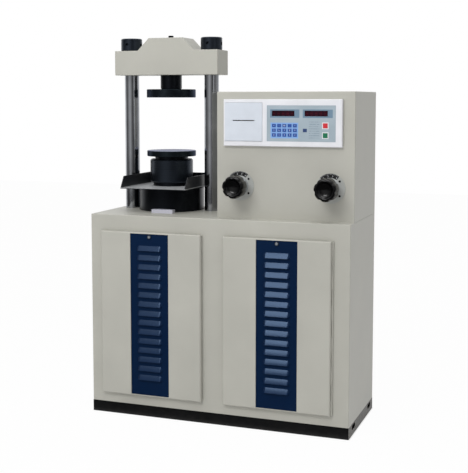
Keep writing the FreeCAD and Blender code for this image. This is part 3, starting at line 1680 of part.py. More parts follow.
    fan = Piece("motor_fan", at=(axis_x, 0, motor_foot + top_of_motor + s.fan_from_motor))
    hub = radius + s.fan_hub
    fan.turned([(radius, 0), (hub, 0), (hub, s.fan_height), (radius, s.fan_height)])
    blade_half = s.fan_blade_sheet / 2
    blade_outline = rectangle(hub - BEYOND, s.fan_radius, -blade_half, blade_half)
    blade = fan.add("top", 0, "up", s.fan_height, blade_outline)
    fan.ring([blade], count("fan_blades"))

    cowl = Piece("fan_cowl", at=(axis_x, 0, motor_foot + top_of_motor))
    inner = body
    outer = inner + s.cowl_wall
    roof = s.cowl_height
    bevel = s.cowl_wall * 2
    cowl.turned([
        (inner, -s.cowl_lap),
        (outer, -s.cowl_lap),
        (outer, roof - bevel),
        (outer - bevel, roof),
        (s.cowl_eye, roof),
        (s.cowl_eye, roof - s.cowl_wall),
        (inner - s.cowl_wall, roof - s.cowl_wall),
        (inner, roof - s.cowl_wall - bevel),
    ])
    half = s.cowl_slot_width / 2
    vent_outline = rectangle(s.cowl_slot_start, s.cowl_slot_end, -half, half)
    vent = cowl.cut("top", roof, "down", s.cowl_wall, vent_outline)
    cowl.ring([vent], count("cowl_slots"))
    return axis_x, lid_top


def make_starter():
    """Mounting plate across the stand's back legs, with a row of contactors."""
    half = s.column_spacing / 2 + s.beam_overhang
    leg_front = frame_y + s.beam_depth / 2 - s.stand_tube
    low = frame_x - half
    high = frame_x + half
    plate = Piece("starter_plate")
    outline = rectangle(low, high, s.plate_level, s.plate_level + s.plate_height)
    plate.add("front", leg_front, "front", s.plate_sheet, outline)

    switches = Piece("contactors")
    face = leg_front - s.plate_sheet
    start = low + s.contactor_from_left
    level = s.plate_level + s.contactor_level
    box = rectangle(start, start + s.contactor_width, level, level + s.contactor_height)
    body = switches.add("front", face, "front", s.contactor_depth, box)
    inset = s.contactor_nose_inset
    margin = s.contactor_nose_margin
    nose = rectangle(
        start + inset,
        start + s.contactor_width - inset,
        level + margin,
        level + s.contactor_height - margin,
    )
    cap = switches.add("front", face - s.contactor_depth, "front", s.contactor_nose, nose)
    switches.row([body, cap], "X", s.contactor_pitch, count("contactor_count"))


def tube(points, radius, bend):
    """A bent steel pipe: straight runs joined by tangent arcs, swept with a round section."""
    corners = [FreeCAD.Vector(*(Size.of(item).value for item in point)) for point in points]
    edges = []
    start = corners[0]
    for before, corner, after in zip(corners, corners[1:], corners[2:]):
        into = (corner - before).normalize()
        out = (after - corner).normalize()
        half_turn = into.getAngle(out) / 2
        reach = bend * math.tan(half_turn)
        arc_start = corner - into * reach
        arc_end = corner + out * reach
        inward = (out - into).normalize()
        centre = corner + inward * (bend / math.cos(half_turn))
        middle = centre - inward * bend
        edges.append(Part.LineSegment(start, arc_start).toShape())
        edges.append(Part.Arc(arc_start, middle, arc_end).toShape())
        start = arc_end
    edges.append(Part.LineSegment(start, corners[-1]).toShape())
    path = Part.Wire(edges)
    along = (corners[1] - corners[0]).normalize()
    section = Part.Wire([Part.Circle(corners[0], along, radius).toShape()])
    pipe = path.makePipeShell([section], True, False)
    back_along = (corners[-2] - corners[-1]).normalize()
    nuts = [
        Part.makeCylinder(SIZES["pipe_nut_radius"], SIZES["pipe_nut"], corners[0], along),
        Part.makeCylinder(SIZES["pipe_nut_radius"], SIZES["pipe_nut"], corners[-1], back_along),
    ]
    return pipe.multiFuse(nuts)


def make_pipes(axis_x, lid_top):
    """Pressure pipe up to the valves, return pipe back to the tank and the line across to the cylinder."""
    radius = SIZES["pipe_radius"]
    bend = SIZES["pipe_bend"]
    block_back = console_inside + s.valve_block_depth
    riser_x = axis_x + s.bell_radius + s.riser_from_bell
    riser = [
        (riser_x, s.riser_from_middle, lid_top),
        (riser_x, s.riser_from_middle, cabinet_roof - s.riser_from_roof),
        (riser_x, block_back + s.pipe_loop, valve_z),
        (riser_x, block_back, valve_z),
    ]
    drain_x = axis_x - s.motor_radius - s.drain_from_motor
    drain = [
        (drain_x, block_back, valve_z),
        (drain_x, block_back + s.pipe_loop, valve_z),
        (drain_x, s.drain_from_middle, lid_top + s.drain_drop_height),
        (drain_x, s.drain_from_middle, lid_top),
    ]
    middle = (valve_places[0] + valve_places[1]) / 2
    feed = [
        (frame_x, frame_y - s.barrel_radius, pipe_level),
        (frame_x, feed_pipe_y, pipe_level),
        (middle, feed_pipe_y, pipe_level),
        (middle, feed_pipe_y, valve_z - s.valve_block_height / 2),
    ]
    pipes = doc.addObject("Part::Feature", "oil_pipes")
    pipes.Label = "oil_pipes"
    pipes.Shape = Part.Compound([tube(route, radius, bend) for route in (riser, drain, feed)])
    pipes.Placement = FreeCAD.Placement()
    pieces.append(pipes)


def write_pieces():
    """Check every object and every sub-part's shape, then write one file for each sub-part."""
    doc.recompute()
    failed = [item.Name for item in doc.Objects if {"Invalid", "Error"} & set(item.State)]
    for piece in pieces:
        if piece.Shape.isNull() or not piece.Shape.isValid() or not piece.Shape.Solids:
            failed.append(piece.Label)
    if failed:
        raise SystemExit("failed: " + ", ".join(failed))
    os.makedirs("parts", exist_ok=True)
    for piece in pieces:
        piece.Shape.exportStep(f"parts/{piece.Label}.step")
    print(len(pieces), "pieces written")


make_plinth()
make_cabinet()
hinge_pivots = [make_door(side) for side in door_lefts]
make_hinges(hinge_pivots)
for side in door_lefts:
    make_strip(side)
    make_lock(side)
make_load_frame()
make_press()
make_upper_seat()
make_tray()
make_spirit_level()
make_console()
make_instrument()
make_valves()
unit_axis, unit_lid = make_oil_unit()
make_starter()
make_pipes(unit_axis, unit_lid)
write_pieces()
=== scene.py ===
# %% [markdown]
# # A flexural and compression testing machine
# The solids of the machine come in as a fixed frame. This file gives them their finishes, adds the small things
# that a maker buys or prints, such as screws, dial marks and key legends, and sets up light and camera.
# All lengths are metres, and the machine stands on z = 0 with its doors facing -Y.

# %% Load the frame
import json
import math

import bmesh
import bpy
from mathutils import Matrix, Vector


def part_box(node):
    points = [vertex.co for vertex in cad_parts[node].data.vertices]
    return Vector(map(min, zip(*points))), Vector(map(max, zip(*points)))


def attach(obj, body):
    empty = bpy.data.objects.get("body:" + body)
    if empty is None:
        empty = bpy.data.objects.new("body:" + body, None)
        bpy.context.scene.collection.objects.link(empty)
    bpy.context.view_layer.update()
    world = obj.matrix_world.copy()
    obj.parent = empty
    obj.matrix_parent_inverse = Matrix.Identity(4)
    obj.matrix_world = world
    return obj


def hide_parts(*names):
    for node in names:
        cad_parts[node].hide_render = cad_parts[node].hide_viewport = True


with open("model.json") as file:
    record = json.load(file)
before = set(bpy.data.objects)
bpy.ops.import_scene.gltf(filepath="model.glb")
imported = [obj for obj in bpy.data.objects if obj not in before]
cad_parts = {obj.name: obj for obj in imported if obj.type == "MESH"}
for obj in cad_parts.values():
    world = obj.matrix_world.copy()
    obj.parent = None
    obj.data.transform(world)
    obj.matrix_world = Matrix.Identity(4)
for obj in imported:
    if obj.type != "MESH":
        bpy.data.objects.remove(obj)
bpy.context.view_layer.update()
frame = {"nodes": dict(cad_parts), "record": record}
nodes = frame["nodes"]
MM = 0.001

# %% [markdown]
# ## Camera
# The picture was taken from the right, a little above the console. Lens and place were worked out from the cabinet's
# edges, so that parallel edges run together as they do there. The camera looks down slightly, and a small shift
# brings the machine back to the middle.

# %% Camera
PICTURE_HEIGHT = 473
FOCAL_PIXELS = 990.9
SHIFT_PIXELS = 47.3
SENSOR = 36.0
CAMERA_PLACE = (1.1215, -3.0850, 1.0444)
CAMERA_DOWN = 5.157
CAMERA_TURN = 19.943


def in_scene(name, data):
    """A new object at the scene's origin."""
    made = bpy.data.objects.new(name, data)
    bpy.context.scene.collection.objects.link(made)
    return made


lens = bpy.data.cameras.new("camera")
lens.sensor_fit = "VERTICAL"
lens.sensor_height = SENSOR
lens.lens = FOCAL_PIXELS / PICTURE_HEIGHT * SENSOR
lens.shift_y = -SHIFT_PIXELS / PICTURE_HEIGHT
camera = in_scene("camera", lens)
camera.location = CAMERA_PLACE
camera.rotation_euler = (math.radians(90 - CAMERA_DOWN), 0, math.radians(CAMERA_TURN))
bpy.context.scene.camera = camera
print("lens", round(lens.lens, 1), "mm, shift", round(lens.shift_y, 3))

# %% [markdown]
# ## Node trees with plain operators
# Shaders and Geometry Nodes are both trees of nodes. A small class stands for one output of a node and answers to
# plus, minus and times by adding a Math node. One method makes any other node: settings first, then its sockets.

# %% Sockets that can be added and multiplied
class Value:
    """One output of a node. Arithmetic on it adds Math nodes to its tree."""

    def __init__(self, recipe, socket):
        self.recipe = recipe
        self.socket = socket

    def others(self, *names):
        """More outputs of the same node."""
        return [Value(self.recipe, self.socket.node.outputs[name]) for name in names]

    def maths(self, operation, *terms, clamp=False):
        inputs = dict(enumerate(terms))
        return self.recipe.node("ShaderNodeMath", {"operation": operation, "use_clamp": clamp}, inputs)

    def __add__(self, other):
        return self.maths("ADD", self, other)

    def __sub__(self, other):
        return self.maths("SUBTRACT", self, other)

    def __rsub__(self, other):
        return self.maths("SUBTRACT", other, self)

    def __mul__(self, other):
        return self.maths("MULTIPLY", self, other)

    def __truediv__(self, other):
        return self.maths("DIVIDE", self, other)

    def __pow__(self, other):
        return self.maths("POWER", self, other)

    __radd__ = __add__
    __rmul__ = __mul__

    def root(self):
        return self.maths("SQRT", self)

    def size(self):
        return self.maths("ABSOLUTE", self)

    def fraction(self):
        return self.maths("FRACT", self)

    def clamped(self):
        return self.maths("ADD", self, 0.0, clamp=True)

    def between(self, low, high, soft):
        """1 inside the range, 0 outside, with an edge that is soft wide."""
        middle = (low + high) / 2
        half = (high - low) / 2
        return ((half - (self - middle).size()) / soft + 0.5).clamped()


class Recipe:
    """A node tree in the making."""

    def __init__(self, tree):
        self.tree = tree

    def node(self, kind, settings=None, inputs=None, output=0):
        made = self.tree.nodes.new(kind)
        for name, value in (settings or {}).items():
            setattr(made, name, value)
        for key, value in (inputs or {}).items():
            socket = made.inputs[key] if isinstance(key, int) else self.find(made.inputs, key)
            if isinstance(value, Value):
                self.tree.links.new(value.socket, socket)
            else:
                socket.default_value = value
        if not made.outputs:
            return None
        found = made.outputs[output] if isinstance(output, int) else self.find(made.outputs, output)
        return Value(self, found)

    @staticmethod
    def find(sockets, key):
        return next(s for s in sockets if s.enabled and key in (s.identifier, s.name))


# %% [markdown]
# ## What every finish shares
# A finish starts from the place of a point on the machine, in metres, so that a pattern keeps its real size on
# every piece. Noise gives the mottle of paint and the lay of ground metal. Its bump is given in metres too, so an
# orange peel of ten micrometres stays that fine in a close-up.

# %% Finish recipe
NOISE_SPAN = 0.4


def shade(red, green, blue):
    """A screen colour, 0 to 255, as the linear colour that shaders work in."""
    parts = [c / 255 for c in (red, green, blue)]
    return tuple(c / 12.92 if c <= 0.04045 else ((c + 0.055) / 1.055) ** 2.4 for c in parts) + (1.0,)


def scaled(colour, factor):
    """The colour made darker, or lighter up to white."""
    return tuple(min(c * factor, 1.0) for c in colour[:3]) + (1.0,)


class Finish(Recipe):
    """A material: a Principled shader fed by patterns on Object coordinates."""

    def __init__(self, name):
        self.material = bpy.data.materials.new(name)
        self.material.use_nodes = True
        super().__init__(self.material.node_tree)
        self.tree.nodes.clear()
        self.place = self.node("ShaderNodeTexCoord", output="Object")
        split = self.node("ShaderNodeSeparateXYZ", inputs={0: self.place})
        self.x, self.y, self.z = split.others("X", "Y", "Z")
        self.relief = {}

    def stretched(self, stretch):
        settings = {"operation": "MULTIPLY"}
        return self.node("ShaderNodeVectorMath", settings, {0: self.place, 1: stretch})

    def noise(self, scale, detail=3.0, roughness=0.5, place=None):
        inputs = {"Vector": place or self.place, "Scale": scale, "Detail": detail, "Roughness": roughness}
        return self.node("ShaderNodeTexNoise", inputs=inputs)

    def speckle(self, scale):
        return self.node("ShaderNodeTexVoronoi", inputs={"Vector": self.place, "Scale": scale})

    def mix(self, factor, first, second):
        inputs = {"Factor_Float": factor, "A_Color": first, "B_Color": second}
        return self.node("ShaderNodeMix", {"data_type": "RGBA"}, inputs, "Result_Color")

    def spread(self, value, low=0.0, high=1.0):
        """A noise, mostly between 0.3 and 0.7, taken to run from low to high."""
        return (value - 0.5) * ((high - low) / NOISE_SPAN) + (low + high) / 2

    def share(self, value, low=0.0, high=1.0):
        """The same, kept between 0 and 1."""
        return self.spread(value, low, high).clamped()

    def mottled(self, value, first, second, high=1.0):
        """Two colours mixed by a noise; the second has a share of mostly 0 to high."""
        return self.mix(self.share(value, 0.0, high), first, second)

    def settled(self, height, scale):
        """Patches of dust that thin out up to a height above the ground."""
        return (1 - self.z / height).clamped() * self.share(self.noise(scale, 5))

    def emboss(self, height, depth):
        """Adds relief: height from 0 to 1 stands for depth metres."""
        bump = {"Height": height, "Distance": depth, **self.relief}
        self.relief = {"Normal": self.node("ShaderNodeBump", inputs=bump)}

    def done(self, colour, roughness, metallic=0.0, coat=0.0, **fixed):
        inputs = {"Base Color": colour, "Roughness": roughness, "Metallic": metallic, "Coat Weight": coat}
        shader = self.node("ShaderNodeBsdfPrincipled", inputs={**inputs, **fixed, **self.relief})
        self.node("ShaderNodeOutputMaterial", inputs={"Surface": shader})
        return self.material


# %% [markdown]
# ## Paint on sheet steel
# The cabinet is powder coated in a light grey beige. Powder flows out to a fine orange peel and is never perfectly
# even, so fine noises lift the surface by some micrometres, and a broad one shifts the tone by a few percent.
# A little dust settles near the ground. The strips' navy mirrors the lights in blue.

# %% Powder coats
DUST = shade(120, 112, 98)


def powder_coat(name, colour, gloss=0.42, peel=650, dust=0.05, **fixed):
    finish = Finish(name)
    broad = finish.noise(5.0, 4)
    fine = finish.noise(peel, 2)
    speck = finish.noise(2600, 1)
    darker = scaled(colour, 0.93)
    tone = finish.mottled(broad, darker, scaled(colour, 1.035))
    tone = finish.mottled(speck, tone, darker, high=0.12)
    tone = finish.mix(finish.settled(0.12, 30) * dust, tone, DUST)
    finish.emboss(fine, 14e-6)
    finish.emboss(finish.noise(90, 2), 30e-6)
    rough = gloss + (broad - 0.5) * 0.12 + (fine - 0.5) * 0.1
    return finish.done(tone, rough, **fixed)


beige_paint = powder_coat("beige_paint", shade(193, 192, 183))
gloss_blue = {"Specular IOR Level": 0.42, "Specular Tint": (0.45, 0.66, 1.0, 1.0)}
navy_paint = powder_coat("navy_paint", shade(6, 30, 62), gloss=0.22, dust=0.02, **gloss_blue)
primer_grey = powder_coat("primer_grey", shade(150, 155, 157), gloss=0.5, peel=420)
print("powder coats:", beige_paint.name, navy_paint.name, primer_grey.name)

# %% [markdown]
# ## Black enamel
# The plinth is enamelled black. Its two ends, with the slots for lifting, are splashed with grey, so a coarse noise
# lies over the enamel there and nowhere else.

# %% Black enamel
plinth_low, plinth_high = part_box("plinth")
PLINTH_MIDDLE = (plinth_low.x + plinth_high.x) / 2
END_DEPTH = 1.5 * MM


def plinth_finish():
    finish = Finish("black_enamel")
    broad = finish.noise(9, 4)
    black = shade(9, 10, 12)
    tone = finish.mottled(broad, black, scaled(black, 1.6))
    tone = finish.mix(finish.settled(0.05, 60) * 0.05, tone, shade(110, 104, 96))
    reach = (finish.x - PLINTH_MIDDLE).size() - (plinth_high.x - PLINTH_MIDDLE)
    at_ends = (reach + END_DEPTH) / MM
    low_down = finish.z.between(-1, plinth_high.z + MM, MM)
    splash = finish.share(finish.noise(115, 5, 0.7), -0.6, 1.6) * at_ends.clamped() * low_down
    tone = finish.mix(splash * 0.8, tone, shade(138, 135, 128))
    finish.emboss(finish.noise(500, 3), 12e-6)
    rough = 0.36 + (broad - 0.5) * 0.15 + splash * 0.3
    return finish.done(tone, rough, **{"Specular IOR Level": 0.3})


black_enamel = plinth_finish()
print("the plinth is", round(plinth_high.z, 4), "m high")

# %% [markdown]
# ## The tray's worn floor
# The chip tray is enamelled too, but crushed specimens have scraped its floor to bare steel. One finish mixes both:
# enamel on the walls, and scuffed metal wherever the surface lies low in the tray. The scrapes run front to back.

# %% Tray
tray_low, tray_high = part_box("tray")
TRAY_SHEET = 3 * MM


def tray_finish():
    finish = Finish("tray_enamel")
    scrape = finish.noise(70, 6, 0.65, finish.stretched((1, 0.25, 1)))
    grit = finish.noise(420, 4, 0.6)
    floor = finish.z.between(tray_low.z + TRAY_SHEET * 0.7, tray_low.z + TRAY_SHEET * 1.4, 0.4 * MM)
    bare = (floor * finish.spread(scrape, 0.7, 1.6)).clamped()
    steel = finish.mottled(grit, shade(152, 154, 156), shade(184, 186, 188))
    black = finish.mottled(scrape, shade(17, 19, 23), shade(34, 37, 42))
    finish.emboss(grit, 20e-6)
    rough = 0.36 + bare * 0.14
    return finish.done(finish.mix(bare, black, steel), rough, bare * 0.1, **{"Specular IOR Level": 0.3})


tray_enamel = tray_finish()
print("tray floor at z =", round(tray_low.z + TRAY_SHEET, 4))

# %% [markdown]
# ## Turned metal
# A turned face carries rings about its axis. The lay is a noise whose place is squeezed: sampled only by the radius
# from the press axis it draws rings, and with the height added it also marks the sides of a round piece.

# %% Turned metal
seat_low, seat_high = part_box("upper_seat")
PRESS_X = (seat_low.x + seat_high.x) / 2
PRESS_Y = (seat_low.y + seat_high.y) / 2
RINGS_PER_METRE = 2200


def turning_marks(finish, along=0.0):
    across = finish.x - PRESS_X
    deep = finish.y - PRESS_Y
    radius = (across * across + deep * deep).root()
    squeezed = finish.node("ShaderNodeCombineXYZ", inputs={0: radius * RINGS_PER_METRE, 1: along})
    return finish.noise(1.0, 2, place=squeezed)


def turned(name, colour, gloss, metallic):
    finish = Finish(name)
    marks = turning_marks(finish, finish.z * RINGS_PER_METRE)
    cloud = finish.noise(22, 5, 0.6)
    darker = scaled(colour, 0.72)
    tone = finish.mottled(marks, darker, colour)
    tone = finish.mottled(cloud, tone, darker, high=0.5)
    finish.emboss(marks, 9e-6)
    return finish.done(tone, gloss + (cloud - 0.5) * 0.16 + (marks - 0.5) * 0.08, metallic)


ground_steel = turned("ground_steel", shade(176, 180, 198), 0.3, 1.0)
gloss_black = turned("gloss_black", shade(30, 33, 39), 0.3, 0.9)
blued_steel = turned("blued_steel", shade(58, 65, 75), 0.32, 0.9)
print("press axis at x =", round(PRESS_X, 4), "y =", round(PRESS_Y, 4))

# %% [markdown]
# ## Platens
# Both platens are blackened discs whose working face alone is ground bright. The finish finds the face by its
# height and turns there from dark metal to satin grey.

# %% Platens
def platen(name, node, face_up):
    finish = Finish(name)
    low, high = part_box(node)
    face = high.z if face_up else low.z
    marks = turning_marks(finish)
    cloud = finish.noise(26, 5, 0.6)
    ground = finish.z.between(face - 0.4 * MM, face + 0.4 * MM, 0.1 * MM)
    dark = finish.mottled(cloud, shade(30, 36, 41), shade(50, 58, 63))
    bright = finish.mottled(marks, shade(152, 156, 177), shade(130, 134, 155), high=0.8)
    finish.emboss(marks, 6e-6)
    rough = 0.34 + ground * 0.16 + (cloud - 0.5) * 0.14
    tint = {"Specular Tint": (0.56, 0.58, 0.7, 1.0), "Specular IOR Level": 0.2}
    print(name, "is ground at z =", round(face, 4))
    return finish.done(finish.mix(ground, dark, bright), rough, 0.9 - ground * 0.6, **tint)


lower_face = platen("lower_platen_steel", "lower_platen", True)
upper_face = platen("upper_platen_steel", "upper_platen", False)

# %% [markdown]
# ## Door locks
# The locks are zinc plated and dark. A bright round patch in the middle of each lock's face is a painted highlight.
# The patch lies about each lock's centre, so one finish serves both.

# %% Door locks
LOCK_RADIUS = 7 * MM
HIGHLIGHT_RADIUS = 4.6 * MM


def lock_centre(side):
    """x and z of a lock's round face, whose cam hangs below it."""
    low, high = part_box(f"door_lock_{side}")
    return (low.x + high.x) / 2, high.z - LOCK_RADIUS


def lock_metal():
    finish = Finish("lock_metal")
    cloud = finish.noise(400, 3)
    # The bright patch about each lock's centre is a painted highlight.
    painted_highlight = 0.0
    for side in ("left", "right"):
        x, z = lock_centre(side)
        across = finish.x - x
        up = finish.z - z
        centre = (1 - (across * across + up * up).root() / HIGHLIGHT_RADIUS) * 6
        painted_highlight = centre.clamped() + painted_highlight
    painted_highlight = painted_highlight.clamped()
    dull = finish.mottled(cloud, shade(44, 52, 66), shade(66, 74, 88))
    finish.emboss(finish.speckle(900), 5e-6)
    rough = 0.4 - painted_highlight * 0.15 + (cloud - 0.5) * 0.1
    return finish.done(finish.mix(painted_highlight, dull, shade(214, 220, 228)), rough, 0.8)


lock_steel = lock_metal()
print("locks at x and z", [tuple(round(v, 4) for v in lock_centre(side)) for side in ("left", "right")])

# %% [markdown]
# ## Plated and chromed metal
# Zinc plating has a faint crystalline mottle, which a Voronoi pattern gives. The chromed columns were ground before
# plating, so they carry very fine hoops: a noise that is squeezed hard along their length.

# %% Plated and chromed metal
def plated(name, colour, gloss, crystals=500):
    finish = Finish(name)
    cloud = finish.noise(45, 4)
    tone = finish.mottled(cloud, scaled(colour, 0.8), colour)
    finish.emboss(finish.speckle(crystals), 5e-6)
    return finish.done(tone, gloss + (cloud - 0.5) * 0.12, 1.0)


def chromed():
    finish = Finish("chrome_bar")
    hoops = finish.noise(1.0, 2, place=finish.stretched((40, 40, 3600)))
    cloud = finish.noise(12, 4)
    tone = finish.mottled(cloud, shade(150, 152, 157), shade(182, 185, 190))
    finish.emboss(hoops, 2e-6)
    return finish.done(tone, 0.13 + (cloud - 0.5) * 0.06 + (hoops - 0.5) * 0.05, 1.0)


chrome_bar = chromed()
zinc_plate = plated("zinc_plate", shade(196, 199, 204), 0.34)
collar_metal = plated("collar_metal", shade(214, 217, 224), 0.2, crystals=900)
print("bright metals:", chrome_bar.name, zinc_plate.name, collar_metal.name)

# %% [markdown]
# ## Plastics, rubber, paper and board
# Moulded plastic takes its grain from the mould: a fine even stipple. Paper has fibres, rubber a dull bloom, and
# circuit board shows its weave. Two recipes with a few sizes make them all.

# %% Moulded and woven materials
def moulded(name, colour, gloss, grain=1200, depth=8e-6, coat=0.0, **fixed):
    finish = Finish(name)
    stipple = finish.noise(grain, 2)
    broad = finish.noise(14, 3)
    darker = scaled(colour, 0.9)
    tone = finish.mottled(broad, darker, colour)
    tone = finish.mottled(stipple, tone, darker, high=0.25)
    finish.emboss(stipple, depth)
    return finish.done(tone, gloss + (broad - 0.5) * 0.1, coat=coat, **fixed)


def woven(name, colour, pitch, gloss):
    finish = Finish(name)
    warp, weft = ((place / pitch).fraction().between(0.2, 0.8, 0.3) for place in (finish.x, finish.z))
    cloud = finish.noise(60, 4)
    tone = finish.mix((warp * weft * 0.6 + cloud * 0.5).clamped(), scaled(colour, 0.75), colour)
    finish.emboss(warp * weft, 10e-6)
    return finish.done(tone, gloss + (cloud - 0.5) * 0.15)


bezel_plastic = moulded("bezel_plastic", shade(245, 246, 251), 0.36)
printer_plastic = moulded("printer_plastic", shade(226, 233, 243), 0.45, grain=900)
bakelite = moulded("bakelite", shade(4, 4, 5), 0.16, grain=300, depth=3e-6, **{"Specular IOR Level": 0.32})
white_print = moulded("white_print", shade(236, 238, 240), 0.5, grain=1500, depth=2e-6)
black_print = moulded("black_print", shade(12, 12, 14), 0.45, grain=1500, depth=2e-6)
switch_plastic = moulded("switch_plastic", shade(72, 74, 77), 0.5, grain=800)
seal_rubber = moulded("seal_rubber", shade(34, 34, 34), 0.75, grain=500, depth=15e-6)
vial_plastic = moulded("vial_plastic", shade(214, 214, 228), 0.22, coat=0.4)
paper_white = woven("paper_white", shade(240, 240, 234), 0.6 * MM, 0.85)
board_green = woven("board_green", shade(34, 92, 58), 0.8 * MM, 0.4)
print("moulded:", bezel_plastic.name, printer_plastic.name, bakelite.name)

# %% [markdown]
# ## The keypad film
# The keypad is one polyester film with its colours printed on the back. It is flat, so one material paints all of it
# from the place of each point. Each layer is a mask and a colour, in this order: grey lines of small print, the pale
# blue field of the keys, the displays' surrounds, the blue keys, a green and a red key with white borders, a thin
# darker band inside the rim that is painted shade of its recessed edge, and last the pale rim. A mask is a rectangle
# with slightly soft edges, as screen print has.

# %% Sizes of the print
film_low, film_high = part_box("keypad")
pane_low, pane_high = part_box("display_windows")
KEY_COLUMNS = 5
KEY_ROWS = 3
KEY_PITCH_ACROSS = 17 * MM
KEY_PITCH_UP = 14.6 * MM
KEY_WIDTH = 12.6 * MM
KEY_HEIGHT = 10.5 * MM
KEYS_LEFT = 178 * MM
KEYS_LOW = 930 * MM
KEYS_RIGHT = KEYS_LEFT + KEY_COLUMNS * KEY_PITCH_ACROSS
KEYS_HIGH = KEYS_LOW + KEY_ROWS * KEY_PITCH_UP
KEYS_MARGIN = 5 * MM
MODE_LEFT = 278 * MM
MODE_LOW = 945 * MM
START_KEY = 17 * MM
START_LEFT = 340.5 * MM
START_LOW = 926.5 * MM
START_PITCH = 30 * MM
LINES_LEFT = 297 * MM
LINES_RIGHT = 331 * MM
LINE_PITCH = 7 * MM
FILM_BORDER = 6 * MM
PANE_WIDTH = 73 * MM
PANES_LEFT = (pane_low.x, pane_high.x - PANE_WIDTH)
print("keys:", KEY_COLUMNS * KEY_ROWS, "small, 1 mode key, 2 large")

# %% Keypad film
def patch(finish, left, right, low, high, soft=0.35 * MM):
    return finish.x.between(left, right, soft) * finish.z.between(low, high, soft)


def grown(left, right, low, high, by):
    return left - by, right + by, low - by, high + by


def film_layers(finish):
    """The layers in order, each as a mask and a colour: print, and a thin band of painted shade."""
    rows = (finish.z / LINE_PITCH).fraction().between(0.35, 0.6, 0.1)
    words = finish.share(finish.noise(1.0, 2, place=finish.stretched((160, 1, 130))), high=1.6)
    notes = patch(finish, LINES_LEFT, LINES_RIGHT, KEYS_LOW - 4 * MM, KEYS_LOW + 52 * MM)
    yield rows * words * notes * 0.7, shade(104, 122, 146)
    field = patch(finish, KEYS_LEFT - KEYS_MARGIN, KEYS_RIGHT, KEYS_LOW - KEYS_MARGIN, KEYS_HIGH)
    yield field, shade(142, 182, 234)
    for left in PANES_LEFT:
        right = left + PANE_WIDTH + 16 * MM
        surround = patch(finish, left - 6 * MM, right, pane_low.z - 5 * MM, pane_high.z + 4 * MM)
        yield surround, shade(116, 144, 166)
    across = ((finish.x - KEYS_LEFT) / KEY_PITCH_ACROSS).fraction().between(0, KEY_WIDTH / KEY_PITCH_ACROSS, 0.05)
    up = ((finish.z - KEYS_LOW) / KEY_PITCH_UP).fraction().between(0, KEY_HEIGHT / KEY_PITCH_UP, 0.05)
    yield across * up * patch(finish, KEYS_LEFT, KEYS_RIGHT, KEYS_LOW, KEYS_HIGH), shade(38, 84, 166)
    mode = patch(finish, MODE_LEFT, MODE_LEFT + KEY_WIDTH, MODE_LOW, MODE_LOW + KEY_HEIGHT)
    yield mode, shade(48, 72, 120)
    for row, colour in enumerate((shade(18, 120, 82), shade(214, 46, 58))):
        low = START_LOW + row * START_PITCH
        key = (START_LEFT, START_LEFT + START_KEY, low, low + START_KEY)
        yield patch(finish, *grown(*key, 1.6 * MM)), shade(238, 240, 244)
        yield patch(finish, *grown(*key, -0.8 * MM)), colour
    left = film_low.x + FILM_BORDER
    inside = patch(finish, left, film_high.x - 1.5 * MM, film_low.z + 1.5 * MM, film_high.z - 2.5 * MM)
    line = patch(finish, left + MM, film_high.x - 2.3 * MM, film_low.z + 2.3 * MM, film_high.z - 3.4 * MM)
    # The thin darker band between inside and line is painted shade of the film's recessed edge.
    yield inside - line, shade(126, 142, 156)
    yield 1 - inside, shade(234, 237, 243)


def keypad_film():
    finish = Finish("keypad_film")
    cloud = finish.noise(18, 3)
    tone = finish.mottled(cloud, shade(164, 180, 190), shade(175, 190, 200))
    for mask, colour in film_layers(finish):
        tone = finish.mix(mask, tone, colour)
    finish.emboss(finish.noise(1500, 2), 4e-6)
    return finish.done(tone, 0.36 + (cloud - 0.5) * 0.08)


film = keypad_film()
print("the film has", len(film.node_tree.nodes), "nodes")

# %% [markdown]
# ## Display windows
# The displays are off. Behind the dark red windows the unlit segments of five digits still show faintly. A digit is
# two small frames, one above the other, and a frame is a patch less a smaller patch.

# %% Display windows
DIGITS = 5
DIGIT_WIDTH = 7 * MM
DIGIT_HEIGHT = 11 * MM
SEGMENT = 1.1 * MM
PRINT_EDGE = 0.2 * MM


def display_pane():
    finish = Finish("display_glass")
    cloud = finish.noise(40, 2)
    tone = finish.mottled(cloud, shade(25, 2, 14), shade(44, 6, 26))
    middle = (pane_low.z + pane_high.z) / 2
    starts = [left + (digit + 0.5) * PANE_WIDTH / DIGITS - DIGIT_WIDTH / 2
              for left in PANES_LEFT for digit in range(DIGITS)]
    for start in starts:
        for base in (middle - DIGIT_HEIGHT / 2, middle):
            frame_box = (start, start + DIGIT_WIDTH, base, base + DIGIT_HEIGHT / 2)
            outer = patch(finish, *frame_box, PRINT_EDGE)
            inner = patch(finish, *grown(*frame_box, -SEGMENT), PRINT_EDGE)
            tone = finish.mix((outer - inner) * 0.22, tone, shade(118, 18, 36))
    finish.emboss(finish.noise(200, 2), 2e-6)
    return finish.done(tone, 0.1 + (cloud - 0.5) * 0.04, **{"Specular IOR Level": 0.15})


display_glass = display_pane()
print("two windows with", DIGITS, "digits each")

# %% [markdown]
# ## Dial metal
# The valves' discs are brushed metal under a matt lacquer, which leaves little of its mirror. The brushing is a noise
# squeezed along the height.

# %% Dial metal
def dial_face():
    finish = Finish("dial_metal")
    brush = finish.noise(1.0, 3, place=finish.stretched((60, 60, 2400)))
    cloud = finish.noise(30, 3)
    tone = finish.mottled(brush, shade(180, 182, 178), shade(196, 198, 194))
    finish.emboss(brush, 4e-6)
    return finish.done(tone, 0.4 + (cloud - 0.5) * 0.1, 0.15)


dial_metal = dial_face()
print("dials:", dial_metal.name)

# %% [markdown]
# ## Dress the frame
# Each CAD node names its material slot in the record. One table from slot to finish dresses all of them, and a few
# nodes take a finish of their own.

